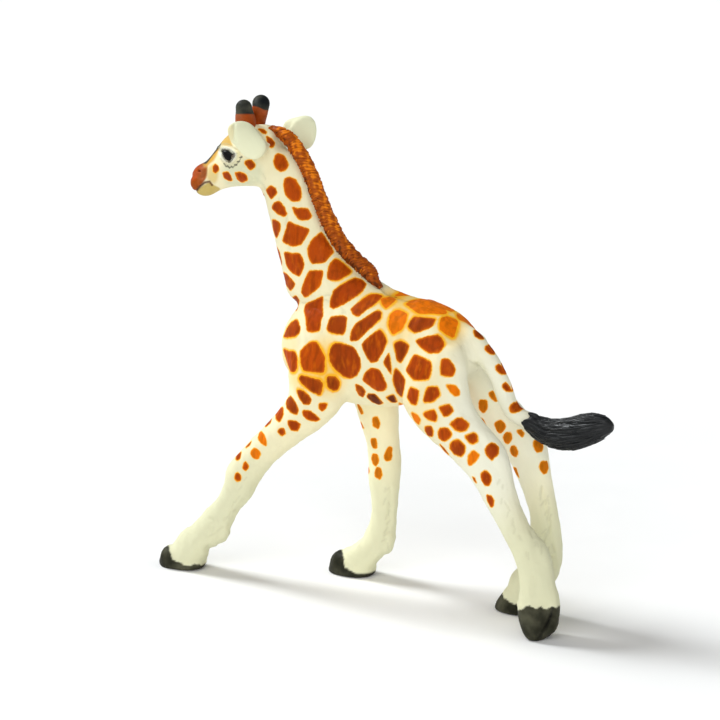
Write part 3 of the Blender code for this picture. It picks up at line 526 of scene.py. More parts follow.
def depthInside(outline, pixels, reach=pixelReach):  # pixels from the outline, above 0 inside it
    near = np.all((pixels > outline.min(axis=0) - reach) & (pixels < outline.max(axis=0) + reach), axis=1)
    place = pixels[near]
    least = np.full(len(place), reach)
    inside = np.zeros(len(place), bool)
    for a, b in zip(outline, np.roll(outline, -1, axis=0)):
        run = b - a
        along = np.clip(((place - a) @ run) / max(run @ run, 1e-9), 0, 1)
        least = np.minimum(least, np.linalg.norm(place - a - along[:, None] * run, axis=1))
        if a[1] != b[1]:
            crossing = a[0] + (place[:, 1] - a[1]) * run[0] / run[1]
            inside ^= ((a[1] > place[:, 1]) != (b[1] > place[:, 1])) & (place[:, 0] < crossing)
    depth = np.full(len(pixels), -reach)
    depth[near] = np.where(inside, least, -least)
    return depth


def waver(points, size, seed):  # smooth noise from -1 to 1
    rng = np.random.default_rng(seed)
    total = np.zeros(len(points))
    for _ in range(7):
        turn = rng.normal(size=3)
        turn *= rng.uniform(0.6, 1.4) * 2 * math.pi / (size * np.linalg.norm(turn))
        total += np.sin(points @ turn + rng.uniform(0, 2 * math.pi))
    return total / 3.5


def ease(value, start, end):
    t = np.clip((value - start) / (end - start), 0, 1)
    return t * t * (3 - 2 * t)


def sidePlaces(points):  # the right side takes the left side's pattern, a little shifted
    side = points[:, 0] - midPlane
    there = points.copy()
    there[:, 0] = midPlane + np.abs(side)
    spread = patchSpread["right"]
    drift = ease(-side, *spread["from"]) * (1 - ease(points[:, 2], *spread["below"]))
    for axis, shift in zip((1, 2), spread["shift"]):
        there[:, axis] += drift * shift * waver(points, spread["size"], axis + 2)
    return there


def layPatches(depth, colour, groups, pixels, where):
    for group in groups:
        for name, outline in group.items():
            here = depthInside(roundOff(outline), pixels)
            nearer = where & (here > depth)
            depth[nearer] = here[nearer]
            plain = "ochre" if group in (hindRightPatches, foreRightPatches) else "rust"
            paint = next((paint for paint, names in patchPaints.items() if name in names), plain)
            tone = paints[paint]
            if paint == "rust":
                tone = tone + (sum(map(ord, name)) % 7) / 6 * (paints["brown"] - tone)
            colour[nearer] = tone


def coatOf(points, normals, owner):  # patch depth in mm, patch and coat colours, and wash of each point
    depth = np.full(len(points), -pixelReach)
    colour = np.tile(paints["rust"], (len(points), 1))
    sidePixels, truePixels = toPixels(sidePlaces(points)), toPixels(points)
    limbs = ("foreleg_right", "hind_leg_right", "hoof_fore_right", "hoof_hind_right")
    limbRight = (points[:, 0] < midPlane) & np.isin(owner, limbs)
    hidden = limbRight & (normals @ camBack < 0)
    layPatches(depth, colour, [headPatches, neckPatches, trunkPatches, haunchPatches, foreLeftPatches,
                               tailPatches], sidePixels, ~limbRight | hidden)
    depth -= pixelReach * hidden * (1 - ease(points[:, 2], *patchSpread["bareLegs"]))
    layPatches(depth, colour, [foreRightPatches, hindRightPatches], truePixels, limbRight)
    coat = np.tile(paints["cream"], (len(points), 1))
    wash = np.zeros(len(points))
    for middle, reach, strength in glazes:
        away = np.linalg.norm((sidePixels - middle) / reach, axis=1)
        wash = np.maximum(wash, strength * ease(1.2 - away, 0, 0.8) * ~limbRight)
    legs = np.isin(owner, legNodes + hoofNodes)
    # Painted shade: the legs turn a duller grey-green towards the floor.
    height, size = patchSpread["legShadeWaver"]
    legShade = ease(points[:, 2] + height * waver(points, size, 11), *patchSpread["legShade"])
    layZone(coat, legs * legShade * patchSpread["legShadeShare"], "lowerShade")
    layZone(coat, wash * patchSpread["honeyShare"], "honey")
    pale = np.linalg.norm((sidePixels - haunchPale[0]) / haunchPale[1], axis=1)
    layZone(coat, ease(1.2 - pale, 0, 0.8) * haunchPale[2], "lid")
    # Painted light: the far legs are made paler below a height, to lift the shade they stand in.
    paintedFill = limbRight * (1 - ease(points[:, 2], *patchSpread["paintedFillBelow"]))
    coat *= 1 + patchSpread["paintedFillGain"] * paintedFill[:, None]
    return depth / camera["pixelsPerMm"], colour, coat, wash


def pointMeans(values, faces, count):  # means at the points of values at the faces
    total = sum(np.bincount(faces[:, i], values, count) for i in range(faces.shape[1]))
    return total / np.maximum(np.bincount(faces.ravel(), minlength=count), 1)


def evenWidth(depth, points, faces):  # a depth that falls as fast on slanting surfaces as on square ones
    a, b, c, d = (points[faces[:, i]] for i in range(4))
    first, second = c - a, d - b
    drops = [depth[faces[:, 2]] - depth[faces[:, 0]], depth[faces[:, 3]] - depth[faces[:, 1]]]
    sizes = [(first * first).sum(axis=1), (second * second).sum(axis=1), (first * second).sum(axis=1)]
    steep = drops[0] ** 2 * sizes[1] + drops[1] ** 2 * sizes[0] - 2 * drops[0] * drops[1] * sizes[2]
    steep = np.sqrt(np.maximum(steep, 0) / np.maximum(sizes[0] * sizes[1] - sizes[2] ** 2, 1e-9))
    return depth / np.clip(evened(pointMeans(steep, faces, len(points)), faces, 2), 0.4, 1.2)


# Pieces of the moulding
def plainObject(name, points, faces, normals=None, **layers):
    mesh = bpy.data.meshes.new(name)
    mesh.from_pydata((points * mm).tolist(), [], faces)
    for layer, values in layers.items():
        kind = "FLOAT" if values.ndim == 1 else "FLOAT_COLOR" if "Colour" in layer else "FLOAT_VECTOR"
        if kind == "FLOAT_COLOR":
            values = np.concatenate([values, np.ones((len(values), 1))], axis=1)
        key = {"FLOAT": "value", "FLOAT_COLOR": "color", "FLOAT_VECTOR": "vector"}[kind]
        mesh.attributes.new(layer, kind, "POINT").data.foreach_set(key, values.astype(np.float32).ravel())
    mesh.shade_smooth()
    if normals is not None:
        mesh.normals_split_custom_set_from_vertices(normals.tolist())
    obj = bpy.data.objects.new(name, mesh)
    bpy.context.scene.collection.objects.link(obj)
    return obj


def groupsOf(edges):  # a number for each chain of touching edges
    home = {}

    def find(a):
        while home.setdefault(a, a) != a:
            home[a] = home[home[a]]
            a = home[a]
        return a

    for a, b in edges.tolist():
        home[find(a)] = find(b)
    return np.array([find(a) for a in edges[:, 0].tolist()])


def closed(points, faces):  # each open edge gets a cap that runs to the middle of its opening
    edges = openEdges(faces)
    caps, middles = [], []
    if len(edges):
        groups = groupsOf(edges)
        for group in np.unique(groups):
            ring = edges[groups == group]
            middles.append(points[np.unique(ring)].mean(axis=0))
            centre = len(points) + len(middles) - 1
            caps += [(b, a, centre) for a, b in ring.tolist()]
    return middles, faces.tolist() + caps


def splitPieces(points, quads, owner, normals, layers):
    order = {name: i for i, name in enumerate(allNodes)}
    tags = np.array([order[name] for name in owner.tolist()])[quads].max(axis=1)
    made = []
    for index, name in enumerate(allNodes):
        mine = quads[tags == index]
        if not len(mine):
            continue
        used, places = np.unique(mine, return_inverse=True)
        middles, faces = closed(points[used], places.reshape(mine.shape))
        extra = len(middles)
        ownPoints = np.concatenate([points[used]] + ([np.array(middles)] if extra else []))
        tail = np.zeros(extra, int)
        pick = np.concatenate([used, used[tail]]) if extra else used
        obj = plainObject(name + "_skin", ownPoints, faces, normals[pick],
                          **{key: values[pick] for key, values in layers.items()})
        made.append((name, obj))
    return made


# Painted zones and carved lines of the head, in photograph pixels
headZones = {  # in the order of painting: paint, softness in pixels, outline
    "snout": ("snout", 1.0, [(186, 162), (204.5, 162), (208, 167.6), (207.6, 175.7), (204, 181.5),
                             (198, 188.5), (196.8, 192), (186, 196)]),
    "noseSide": ("gold", 1.6, [(220, 145), (218.5, 152), (214, 160.5), (209.5, 164), (206.5, 168), (202, 166),
                                 (205, 160), (214, 148)]),
    "noseRust": ("amber", 1.6, [(204, 166), (200, 173), (196, 181), (190, 180), (188, 168), (196, 163)]),
    "cheek": ("tan", 2.2, [(207.6, 167.6), (214, 163), (218.8, 169.6), (217.8, 179.8), (214.7, 184),
                           (209.6, 181.5), (206.5, 178)]),
    "lowerLip": ("lip", 0.9, [(197.5, 189.5), (205.5, 183.9), (209.6, 182.3), (213.7, 184.9), (220.8, 188.5),
                              (216, 196), (209.6, 200), (200, 199), (195, 194)]),
    # Painted shade over the lower jaw.
    "jaw": ("lowerShade", 5.0, [(222, 166), (236, 164), (250, 158), (262, 166), (262, 184), (246, 188),
                          (226, 186)]),
    "brow": ("brow", 1.0, [(229, 133), (222, 137), (218, 145), (226, 145.5), (233, 146.5), (231, 142)]),
    "ridgeStripe": ("charcoal", 0.7, [(221.5, 142), (220.5, 146.5), (213.5, 154.5), (206.3, 164.2),
                                      (202.5, 163.5), (210, 150), (217, 141)]),
    "earRim": ("tan", 1.2, [(227, 127), (233, 124), (234, 132), (233, 141), (228, 139)]),
    "lids": ("lid", 1.0, [(218, 152), (221, 147.5), (227, 146.5), (233, 148.5), (237, 153.5), (236, 159),
                          (231, 162.5), (225, 162), (220, 157.5)]),
}
eyeOutline = [(221.3, 150.2), (224, 149.4), (228.5, 149.8), (236, 154), (234.3, 157.8), (230.3, 162.3),
              (225.5, 160), (222.5, 155.5)]
eyeShine = [(229.6, 150.6), (235.3, 154.2), (231.2, 160.6)]
lidCreases = [[(218.4, 147.5), (221.5, 144.6), (226, 143.6), (231, 145.4), (236, 149.4)],
              [(220.4, 158.5), (224.5, 163.4), (230, 164.6), (235.5, 161.2), (238.6, 155)]]
mouthLine = [(196.5, 190.5), (200.5, 186), (204.5, 182.6), (209.6, 181.6), (212, 185)]
lashes = [[(224, 163.6), (226.2, 166.6)], [(227.6, 165.8), (229.6, 168)], [(231.2, 166.4), (233, 167.4)],
          [(234.6, 164.6), (236.8, 165)], [(237.4, 161.6), (239.6, 161.6)], [(240, 157.4), (242, 157)]]
lashBow = [(225, 165.5), (229, 167.6), (233.6, 166.6), (237.6, 163.4), (240.2, 159.6), (241.6, 156.2)]
nostril = (199.5, 171.0)
headCarving = {  # depths within the eye or reaches in pixels, then height in mm, below 0 for a groove
    "rim": (-1.7, 2.0), "rimHeight": 0.42, "frontRimLess": 0.40,
    "ball": (0, 3), "ballHeight": 0.20, "seam": (0.1, 0.9), "seamHeight": -0.12,
    "fold": (-4.4, 1.5), "foldHeight": -0.2,
    "flare": ((202.5, 169.8), (5.5, 4.5)), "flareHeight": 0.30,
    "pitReach": (2.6, 1.5), "pitHeight": -0.42,
    "earFold": [(234.6, 125), (234.4, 134), (235.6, 142)], "earFoldWidth": 2.6, "earFoldHeight": -0.2,
}
headReliefs = [  # line and width in photograph pixels, and height in mm, below 0 for a groove
    (mouthLine, 1.9, -0.34),
    (np.array(mouthLine) + (-1.5, -2.8), 3.2, 0.16),
    ([(192, 176.5), (197, 175.5), (201, 177)], 3.4, -0.14),
    ([(207, 165), (206, 172), (203, 178)], 2.6, -0.16),
    ([(243, 158), (252, 175), (261, 187)], 5, -0.16),
    ([(219, 148), (226, 145), (235, 148)], 3.0, 0.22),
]
noseBridge = (78.2, 79.2, 83.2, 84.6)  # heights in mm where the dark stripe fades in and out
hoofZones = {
    "fore_left": [(168.5, 545.5), (172, 558.5), (175.5, 561.5), (183, 564), (190, 566), (194.5, 564),
                 (201, 564.5), (206, 578), (150, 578), (150, 545)],
    "fore_right": [(342.5, 550), (344, 562), (345, 567.5), (353, 572), (358.5, 574.5), (374, 574.5),
                   (378, 585), (322, 585), (322, 548)],
    "hind_right": [(501.5, 590), (503.5, 597), (510, 602.5), (516.5, 604.5), (526, 607), (530, 622),
                   (488, 622), (488, 588)],
    "hind_left": [(515, 610), (521.5, 609.5), (526, 606.5), (530.5, 605.5), (537, 609), (541.5, 606),
                 (546.5, 610), (551.5, 606.5), (557, 607), (566, 603), (566, 650), (512, 650)],
}


def fromLine(line, pixels):  # pixels from an open line
    line = np.array(line, float)
    least = np.full(len(pixels), 1e9)
    for a, b in zip(line[:-1], line[1:]):
        run = b - a
        along = np.clip(((pixels - a) @ run) / (run @ run), 0, 1)
        least = np.minimum(least, np.linalg.norm(pixels - a - along[:, None] * run, axis=1))
    return least


def bump(value, middle, width):  # 1 at the middle, falling to 0 a width away
    return ease(1 - np.abs(value - middle) / width, 0, 1)


def evened(mask, faces, passes=3):  # a mask of the points, made softer along the surface
    for _ in range(passes):
        mask = pointMeans(mask[faces].mean(axis=1), faces, len(mask))
    return mask


def frontOf(points, normals):  # 1 where the left side's photograph doesn't show a place, such as the forehead
    facing = normals * (np.where(points[:, 0] < midPlane, -1, 1)[:, None] * (1, 0, 0) + (0, 1, 1))
    return ease(0.12 - facing @ camBack, 0, 0.2)


def eyeDepth(points, normals):  # pixels inside the eye: its outline at the side, and an oval at the front
    places = sidePlaces(points)
    outlined = depthInside(roundOff(eyeOutline), toPixels(places))
    inside = points[(outlined > 0) & (points[:, 0] > midPlane) & (normals @ camBack > 0.05)]
    low, high = inside.min(axis=0)[1:], inside.max(axis=0)[1:]
    oval = 1 - np.linalg.norm((places[:, 1:] - (low + high) / 2) / ((high - low) / 2), axis=1)
    oval = np.clip(oval * (high - low)[1] / 2 * camera["pixelsPerMm"], -9, 9)
    front = frontOf(points, normals)
    return outlined * (1 - front) + oval * front


def carveHead(points, normals, owner):
    pixels = toPixels(sidePlaces(points))
    eye = eyeDepth(points, normals)
    carving = headCarving
    lids = carving["rimHeight"] - carving["frontRimLess"] * frontOf(points, normals)
    out = lids * bump(eye, *carving["rim"]) + carving["ballHeight"] * ease(eye, *carving["ball"])
    out += carving["seamHeight"] * bump(eye, *carving["seam"])
    out += carving["foldHeight"] * bump(eye, *carving["fold"])
    flare = np.linalg.norm((pixels - carving["flare"][0]) / carving["flare"][1], axis=1)
    pit = np.linalg.norm((pixels - nostril) / carving["pitReach"], axis=1)
    out += carving["flareHeight"] * ease(1 - flare, 0, 0.8) + carving["pitHeight"] * ease(1.3 - pit, 0, 1)
    for line, width, height in headReliefs:
        out += height * bump(fromLine(line, pixels), 0, width)
    out *= owner == "head"
    fold = bump(fromLine(carving["earFold"], toPixels(points)), 0, carving["earFoldWidth"])
    out += carving["earFoldHeight"] * fold * (owner == "ear_left")
    return press(points + normals * out[:, None], owner == "ear_right", **farEarPress)


def press(points, mine, limits, keep):  # brings what lies beyond the limits in the photograph nearer to them
    left, top, right, bottom = limits
    pixels = toPixels(points)
    across = np.minimum(pixels[:, 0] - left, 0) + np.maximum(pixels[:, 0] - right, 0)
    down = np.minimum(pixels[:, 1] - top, 0) + np.maximum(pixels[:, 1] - bottom, 0)
    share = mine * (keep - 1) / camera["pixelsPerMm"]
    return points + (share * across)[:, None] * camRight - (share * down)[:, None] * camUp


farEarPress = {"limits": (0, 122, 311, 720), "keep": 0.6}  # limits in pixels: left, top, right, bottom
manePress = {"limits": (0, 132, 376, 281), "keep": 0.58}
hindCleft = [(553.5, 606), (550.5, 616.5), (545, 629.5), (539, 640)]
reliefs = [  # nodes, line in photograph pixels, width in pixels, and height in mm, below 0 for a groove
    (["foreleg_left"], [(227, 533), (225, 540)], 8, 0.45),
    (["foreleg_left", "hoof_fore_left"], [(208, 549), (213, 551)], 6, -0.55),
    (["foreleg_left"], [(245, 500), (236, 514), (229, 527)], 4.5, -0.22),
    (["foreleg_left"], [(209.5, 518.6), (211.5, 519.4)], 2.2, -0.18),
    (["foreleg_left"], [(211.5, 527), (210.5, 533)], 2.6, -0.16),
    (["foreleg_left"], [(199, 512), (190, 524)], 6, -0.22),
    (["foreleg_left"], [(248, 474), (243, 490)], 10, 0.16),
    (["foreleg_left"], [(196, 540), (192, 552)], 7, 0.16),
    (["foreleg_right"], [(360, 534), (351, 544)], 7, -0.5),
    (["foreleg_right"], [(385, 557), (379, 563)], 6, -0.45),
    (["foreleg_right"], [(392, 538), (390, 549)], 7, 0.28),
    (["foreleg_right"], [(391, 490), (389, 525), (383, 548)], 4.5, -0.18),
    (["foreleg_right"], [(379, 468), (381, 482)], 10, 0.16),
    (["foreleg_right"], [(378, 556), (372, 553)], 2.6, -0.14),
    (["hind_leg_left"], [(520, 505), (533, 535), (537, 560)], 5, -0.16),
    (["hind_leg_left"], [(545, 540), (548, 562)], 7, 0.22),
    (["hind_leg_left"], [(534, 576), (533, 596)], 3.4, -0.18),
    (["hind_leg_left"], [(455, 396), (476, 432), (500, 478)], 6, -0.14),
    (["hind_leg_right"], [(541, 488), (549, 530), (555, 568)], 4, -0.24),
    (["hoof_hind_left"], hindCleft, 2.2, -0.7),
    (["trunk", "neck"], [(389, 289), (395, 292), (404, 294.5), (412, 296)], 9, -0.85),
    (["trunk"], [(368, 312), (357, 345), (352, 378)], 7, -0.14),
    (["trunk"], [(389, 318), (382, 350), (385, 382)], 4, -0.08),
    (["trunk"], [(399, 316), (392, 345), (396, 378)], 4, -0.08),
    (["trunk", "hind_leg_left"], [(403, 334), (399, 362), (405, 396)], 8, -0.2),
    (["trunk", "hind_leg_left"], [(434, 345), (424, 374)], 22, 0.2),
    (["trunk", "hind_leg_left"], [(438, 320), (442, 324)], 9, 0.14),
    (["trunk", "neck"], [(299, 316), (301, 345), (297, 378)], 5, -0.14),
    (["neck"], [(300, 190), (311, 240), (320, 286)], 8, -0.12),
    (["neck"], [(284, 205), (291, 250), (298, 290)], 6, -0.10),
]
furLines = [  # nodes, a line in photograph pixels that short grooves follow, and their spacing and length
    (["hind_leg_right"], [(543, 486), (548, 528), (553.5, 566)], 3.4, 7.0),
    (["hind_leg_left"], [(497, 480), (513, 522), (530, 560)], 7.0, 6.0),
    (["hind_leg_left"], [(528, 520), (540, 552)], 6.0, 6.0),
    (["foreleg_left"], [(246, 480), (233, 512), (218, 534)], 6.0, 6.0),
    (["foreleg_right"], [(386, 486), (388, 514), (384, 545)], 6.0, 6.0),
    (["neck"], [(268, 176), (281, 205), (290, 250)], 8.0, 6.0),
    (["trunk", "neck"], [(302, 306), (326, 300), (352, 318)], 8.0, 6.0),
    (["trunk", "tail"], [(462, 346), (478, 372), (492, 396)], 6.0, 7.0),
    (["head"], [(243, 169), (252, 177), (262, 184)], 3.2, 5.0),
    (["head"], [(247, 152), (254, 166), (262, 176)], 5.0, 5.0),
]


def furMarks(points, owner):  # 1 in the middle of each short groove
    sides, places = toPixels(sidePlaces(points)), toPixels(points)
    rng = np.random.default_rng(51)
    total = np.zeros(len(points))
    for nodes, line, spacing, length in furLines:
        line = np.array(line, float)
        pixels = places if nodes[0].endswith("right") else sides
        here = np.flatnonzero(np.isin(owner, nodes) & (fromLine(line, pixels) < 2 * length))
        for a, b in zip(line[:-1], line[1:]):
            step = b - a
            size = np.linalg.norm(step)
            for run in np.arange(0, size, spacing):
                turn = math.atan2(step[1], step[0]) + rng.normal(0.35, 0.3)
                start = a + step * run / size + rng.normal(0, 2.2, 2)
                end = start + np.array([math.cos(turn), math.sin(turn)]) * length * rng.uniform(0.6, 1.3)
                total[here] = np.maximum(total[here], bump(fromLine([start, end], pixels[here]), 0, 1.7))
    return total


furDepth = 0.12
bareDepth = -9  # a depth in pixels at which no patch shows
hoofPaintTop = 16  # mm
tipEdges = {"left": 114.2, "right": ((253, 258, 264, 268), (106, 107, 110, 110.5))}  # pixels, dark above
grainSizes = ((2.6, 0.06, 31), (1.1, 0.03, 32))  # unevenness of the paint: size, height and seed


def carveBody(points, normals, faces, owner):
    pixels, sidePixels = toPixels(points), toPixels(sidePlaces(points))
    out = sum(height * waver(points, size, seed) for size, height, seed in grainSizes)
    for nodes, line, width, height in reliefs:
        mine = evened(np.isin(owner, nodes) * 1.0, faces)
        out += mine * height * bump(fromLine(line, sidePixels if "trunk" in nodes else pixels), 0, width)
    out *= ease(points[:, 2], 0.1, 0.7)
    return points + normals * out[:, None]


def layZone(coat, amount, paint):
    coat += amount[:, None] * (paints[paint] - coat)


def paintHead(points, normals, faces, owner, coat, depth):
    pixels, truePixels = toPixels(sidePlaces(points)), toPixels(points)
    onHead = owner == "head"
    ears = np.isin(owner, ("ear_left", "ear_right"))
    layZone(coat, evened(ears * 1.0, faces), "ear")
    front, seen = frontOf(points, normals), onHead * (1 - frontOf(points, normals))
    side, height = np.abs(points[:, 0] - midPlane), points[:, 2]
    eye = eyeDepth(points, normals)
    bridge = ease(1.6 - side, -0.3, 0.3)
    bridge *= ease(height, *noseBridge[:2]) * (1 - ease(height, *noseBridge[2:]))
    frontZones = {"ridgeStripe": bridge * (normals[:, 2] > 0), "lids": ease(eye, -6, -4)}
    for name, (paint, softness, outline) in headZones.items():
        where = (owner == "ear_left") * 0.45 if name == "earRim" else onHead
        amount = ease(depthInside(roundOff(outline), pixels), -softness, softness)
        amount = where * (amount * (1 - front) + frontZones[name] * front if name in frontZones else amount)
        layZone(coat, amount, paint)
        if paint not in ("tan", "lowerShade"):
            depth[amount > 0.3] = np.minimum(depth[amount > 0.3], bareDepth)
    mottle = 0.6 * ease(waver(points, 1.6, 21) + 0.5 * waver(points, 0.7, 22), -0.1, 0.9)
    snoutAmount = ease(depthInside(roundOff(headZones["snout"][2]), pixels), -0.5, 2) * onHead
    layZone(coat, snoutAmount * mottle * 0.4, "amber")
    layZone(coat, snoutAmount * (1 - mottle) * 0.35, "snoutDark")
    layZone(coat, bump(eye, -0.9, 1.1) * 0.6 * onHead, "shade")
    layZone(coat, ease(eye, -0.4, 0.3) * onHead, "pupilAndCleftShade")
    layZone(coat, ease(-fromLine(eyeShine, pixels), -0.8, -0.3) * seen, "lid")
    for crease in lidCreases:
        layZone(coat, ease(-fromLine(crease, pixels), -1.3, 0) * 0.45 * seen, "shade")
    # The dark mouth line, drawn wide so that it also paints the shadow under the upper lip.
    layZone(coat, ease(-fromLine(mouthLine, pixels), -1.7, -0.4) * 0.9 * onHead, "mouth")
    # Painted shade in the nostril's hollow.
    pit = np.linalg.norm((pixels - nostril) / (2.2, 1.2), axis=1)
    layZone(coat, ease(1 - pit, 0, 0.7) * onHead, "mouth")
    for lash in lashes:
        layZone(coat, ease(-fromLine(lash, pixels), -1.0, -0.3) * 0.9 * seen, "charcoal")
    layZone(coat, ease(-fromLine(lashBow, pixels), -0.8, -0.2) * 0.6 * seen, "charcoal")
    stems = np.isin(owner, ("ossicone_left", "ossicone_right", "ossicone_tip_left", "ossicone_tip_right"))
    stemAmount = evened(stems * 1.0, faces, 5)
    layZone(coat, ease(stemAmount + 0.12 * waver(points, 1.1, 23), 0.2, 0.55), "stem")
    layZone(coat, stems * ease(waver(points, 1.0, 24), 0.1, 0.9) * 0.5, "rust")
    onLeft = np.isin(owner, ("ossicone_left", "ossicone_tip_left"))
    edge = np.where(onLeft, tipEdges["left"], np.interp(truePixels[:, 0], *tipEdges["right"]))
    layZone(coat, stems * ease(edge - truePixels[:, 1], -0.4, 0.6), "charcoal")
    depth[stems | ears] = bareDepth


def paintHooves(points, owner, coat, depth):
    pixels = toPixels(points)
    low = points[:, 2] < hoofPaintTop
    for place, outline in hoofZones.items():
        kind, side = place.split("_")
        leg = {"fore": "foreleg_", "hind": "hind_leg_"}[kind] + side
        mine = low & np.isin(owner, ("hoof_" + place, leg))
        ragged = 0.5 * waver(points, 1.5, 41) + 0.35 * waver(points, 0.8, 42)
        amount = ease(depthInside(np.array(outline, float), pixels) + ragged, -0.5, 0.6)
        # The band next to the floor is painted hoof-dark as well: painted shadow where the foot meets the
        # floor.
        amount = np.maximum(amount, ease(points[:, 2], 1.3, 0.8)) * mine
        layZone(coat, amount, "hoof")
        # Painted shade: the cleft between the hind-left toes is darkened.
        cleftShade = ease(-fromLine(hindCleft, pixels), -1.6, -0.4) * (place == "hind_left")
        layZone(coat, amount * cleftShade * 0.8, "pupilAndCleftShade")
        depth[mine] = bareDepth


# Materials
def nodeMaterial(name):
    material = bpy.data.materials.new(name)
    material.use_nodes = True
    tree = material.node_tree
    return material, tree, tree.nodes["Principled BSDF"]


def addNode(tree, kind, inputs=None, **settings):
    node = tree.nodes.new(kind)
    for key, value in settings.items():
        setattr(node, key, value)
    for key, value in (inputs or {}).items():
        if isinstance(value, bpy.types.NodeSocket):
            tree.links.new(value, node.inputs[key])
        else:
            node.inputs[key].default_value = value
    return node


def noiseOf(tree, scale, detail=3.0, stretch=None):
    place = addNode(tree, "ShaderNodeTexCoord").outputs["Object"]
    if stretch:
        place = addNode(tree, "ShaderNodeMapping", {"Vector": place, "Scale": stretch}).outputs["Vector"]
    inputs = {"Vector": place, "Scale": scale, "Detail": detail}
    return addNode(tree, "ShaderNodeTexNoise", inputs).outputs["Fac"]


def mapped(tree, value, fromLow, fromHigh, toLow=0.0, toHigh=1.0, smooth=True):
    return addNode(tree, "ShaderNodeMapRange", {"Value": value, "From Min": fromLow, "From Max": fromHigh,
                                                "To Min": toLow, "To Max": toHigh},
                   interpolation_type="SMOOTHSTEP" if smooth else "LINEAR").outputs["Result"]


def mixed(tree, factor, a, b, mode="MIX"):
    node = addNode(tree, "ShaderNodeMix", data_type="RGBA", blend_type=mode)
    for socket, value in ((node.inputs[0], factor), (node.inputs[6], a), (node.inputs[7], b)):
        if isinstance(value, bpy.types.NodeSocket):
            tree.links.new(value, socket)
        else:
            socket.default_value = value if isinstance(value, float) else (*value, 1)
    return node.outputs[2]


def attribute(tree, name, output="Fac"):
    return addNode(tree, "ShaderNodeAttribute", attribute_name=name).outputs[output]


def added(tree, a, b, operation="ADD"):
    return addNode(tree, "ShaderNodeMath", {0: a, 1: b}, operation=operation).outputs[0]


def coatMaterial():
    material, tree, shader = nodeMaterial("painted_coat")
    brush = mapped(tree, noiseOf(tree, 1500, 2), 0.3, 0.7, -0.07, 0.07, smooth=False)
    depth = added(tree, attribute(tree, "patchDepth"), brush)
    wash = attribute(tree, "wash")
    streaks = noiseOf(tree, 1000, 4, (1.0, 1.0, 0.25))
    inside = mapped(tree, depth, -0.10, 0.03)
    glow = mapped(tree, added(tree, depth, added(tree, added(tree, wash, 2.6, "MULTIPLY"), 1.0), "DIVIDE"),
                  -0.32, -0.06)
    core = mixed(tree, mapped(tree, streaks, 0.42, 0.64, 0.0, 0.5), attribute(tree, "patchColour", "Color"),
                 (0.48, 0.55, 0.5), "MULTIPLY")
    lit = mixed(tree, mapped(tree, noiseOf(tree, 900, 3, (0.4, 1.0, 0.4)), 0.50, 0.75, 0.0, 0.3), core,
                tuple(paints["orange"]))
    rim = mixed(tree, mapped(tree, depth, 0.40, 0.0, 0.0, 0.45), lit, tuple(paints["orange"]))
    coat = mixed(tree, mapped(tree, noiseOf(tree, 260, 3), 0.35, 0.8, 0.0, 0.12),
                 attribute(tree, "coatColour", "Color"), (0.66, 0.64, 0.42))
    edge = mixed(tree, glow, coat, tuple(paints["halo"]))
    tree.links.new(mixed(tree, inside, edge, rim), shader.inputs["Base Color"])
    shade = mapped(tree, noiseOf(tree, 700, 2), 0.3, 0.7, 0.44, 0.58)
    tree.links.new(shade, shader.inputs["Roughness"])
    strands = added(tree, noiseOf(tree, 1500, 3, (1.0, 1.0, 0.3)), noiseOf(tree, 600, 2), "ADD")
    fur = addNode(tree, "ShaderNodeBump", {"Strength": 0.5, "Distance": 0.00012, "Height": strands})
    tree.links.new(fur.outputs["Normal"], shader.inputs["Normal"])
    shader.inputs["Specular IOR Level"].default_value = 0.06
    return material


def eyeMaterial():
    material, tree, shader = nodeMaterial("eye_gloss")
    depth = mixed(tree, mapped(tree, noiseOf(tree, 900, 2), 0.3, 0.7, 0.0, 0.3),
                  attribute(tree, "coatColour", "Color"), (0.004, 0.003, 0.003))
    tree.links.new(depth, shader.inputs["Base Color"])
    shader.inputs["Roughness"].default_value = 0.34
    shader.inputs["Specular IOR Level"].default_value = 0.08
    return material


# Head and body pieces
def joinNames(owner, fromNames, to):
    owner[np.isin(owner, fromNames)] = to


def finishClay(points, quads, label, space, isHead):
    owner = np.array(allNodes)[labelsAt(points, label, space)]
    if isHead:
        joinNames(owner, [n for n in coatNodes + eyeNodes], "head")
        points = carveHead(points, pointNormals(points, quads), owner)
    else:
        joinNames(owner, ["head"] + crownNodes + eyeNodes, "neck")
        points = carveBody(points, pointNormals(points, quads), quads, owner)
    marks = furMarks(points, owner)
    normals = pointNormals(points, quads)
    points = points - normals * marks[:, None] * furDepth
    normals = pointNormals(points, quads)
    depth, colour, coat, wash = coatOf(points, normals, owner)
    depth = evenWidth(depth, points, quads)
    layZone(coat, marks * 0.3, "shade")
    if isHead:
        paintHead(points, normals, quads, owner, coat, depth)
        inEye = (owner == "head") & (eyeDepth(points, normals) > 0.2)
        owner[inEye] = np.where(points[inEye, 0] > midPlane, "eye_left", "eye_right")
    paintHooves(points, owner, coat, depth)
    layers = {"patchDepth": depth, "patchColour": colour, "coatColour": coat, "wash": wash}
    return splitPieces(points, quads, owner, normals, layers)


coatPaint = coatMaterial()
pieces = finishClay(bodyPoints, bodyQuads, bodyLabel, bodySpace, isHead=False)
pieces += finishClay(headPoints, headQuads, headLabel, headSpace, isHead=True)
eyePaint = eyeMaterial()
for node, piece in pieces:
    piece.data.materials.append(eyePaint if node in eyeNodes else coatPaint)
    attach(piece, "root")
    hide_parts(node)
print("stage: pieces", [(node, len(piece.data.polygons)) for node, piece in pieces])


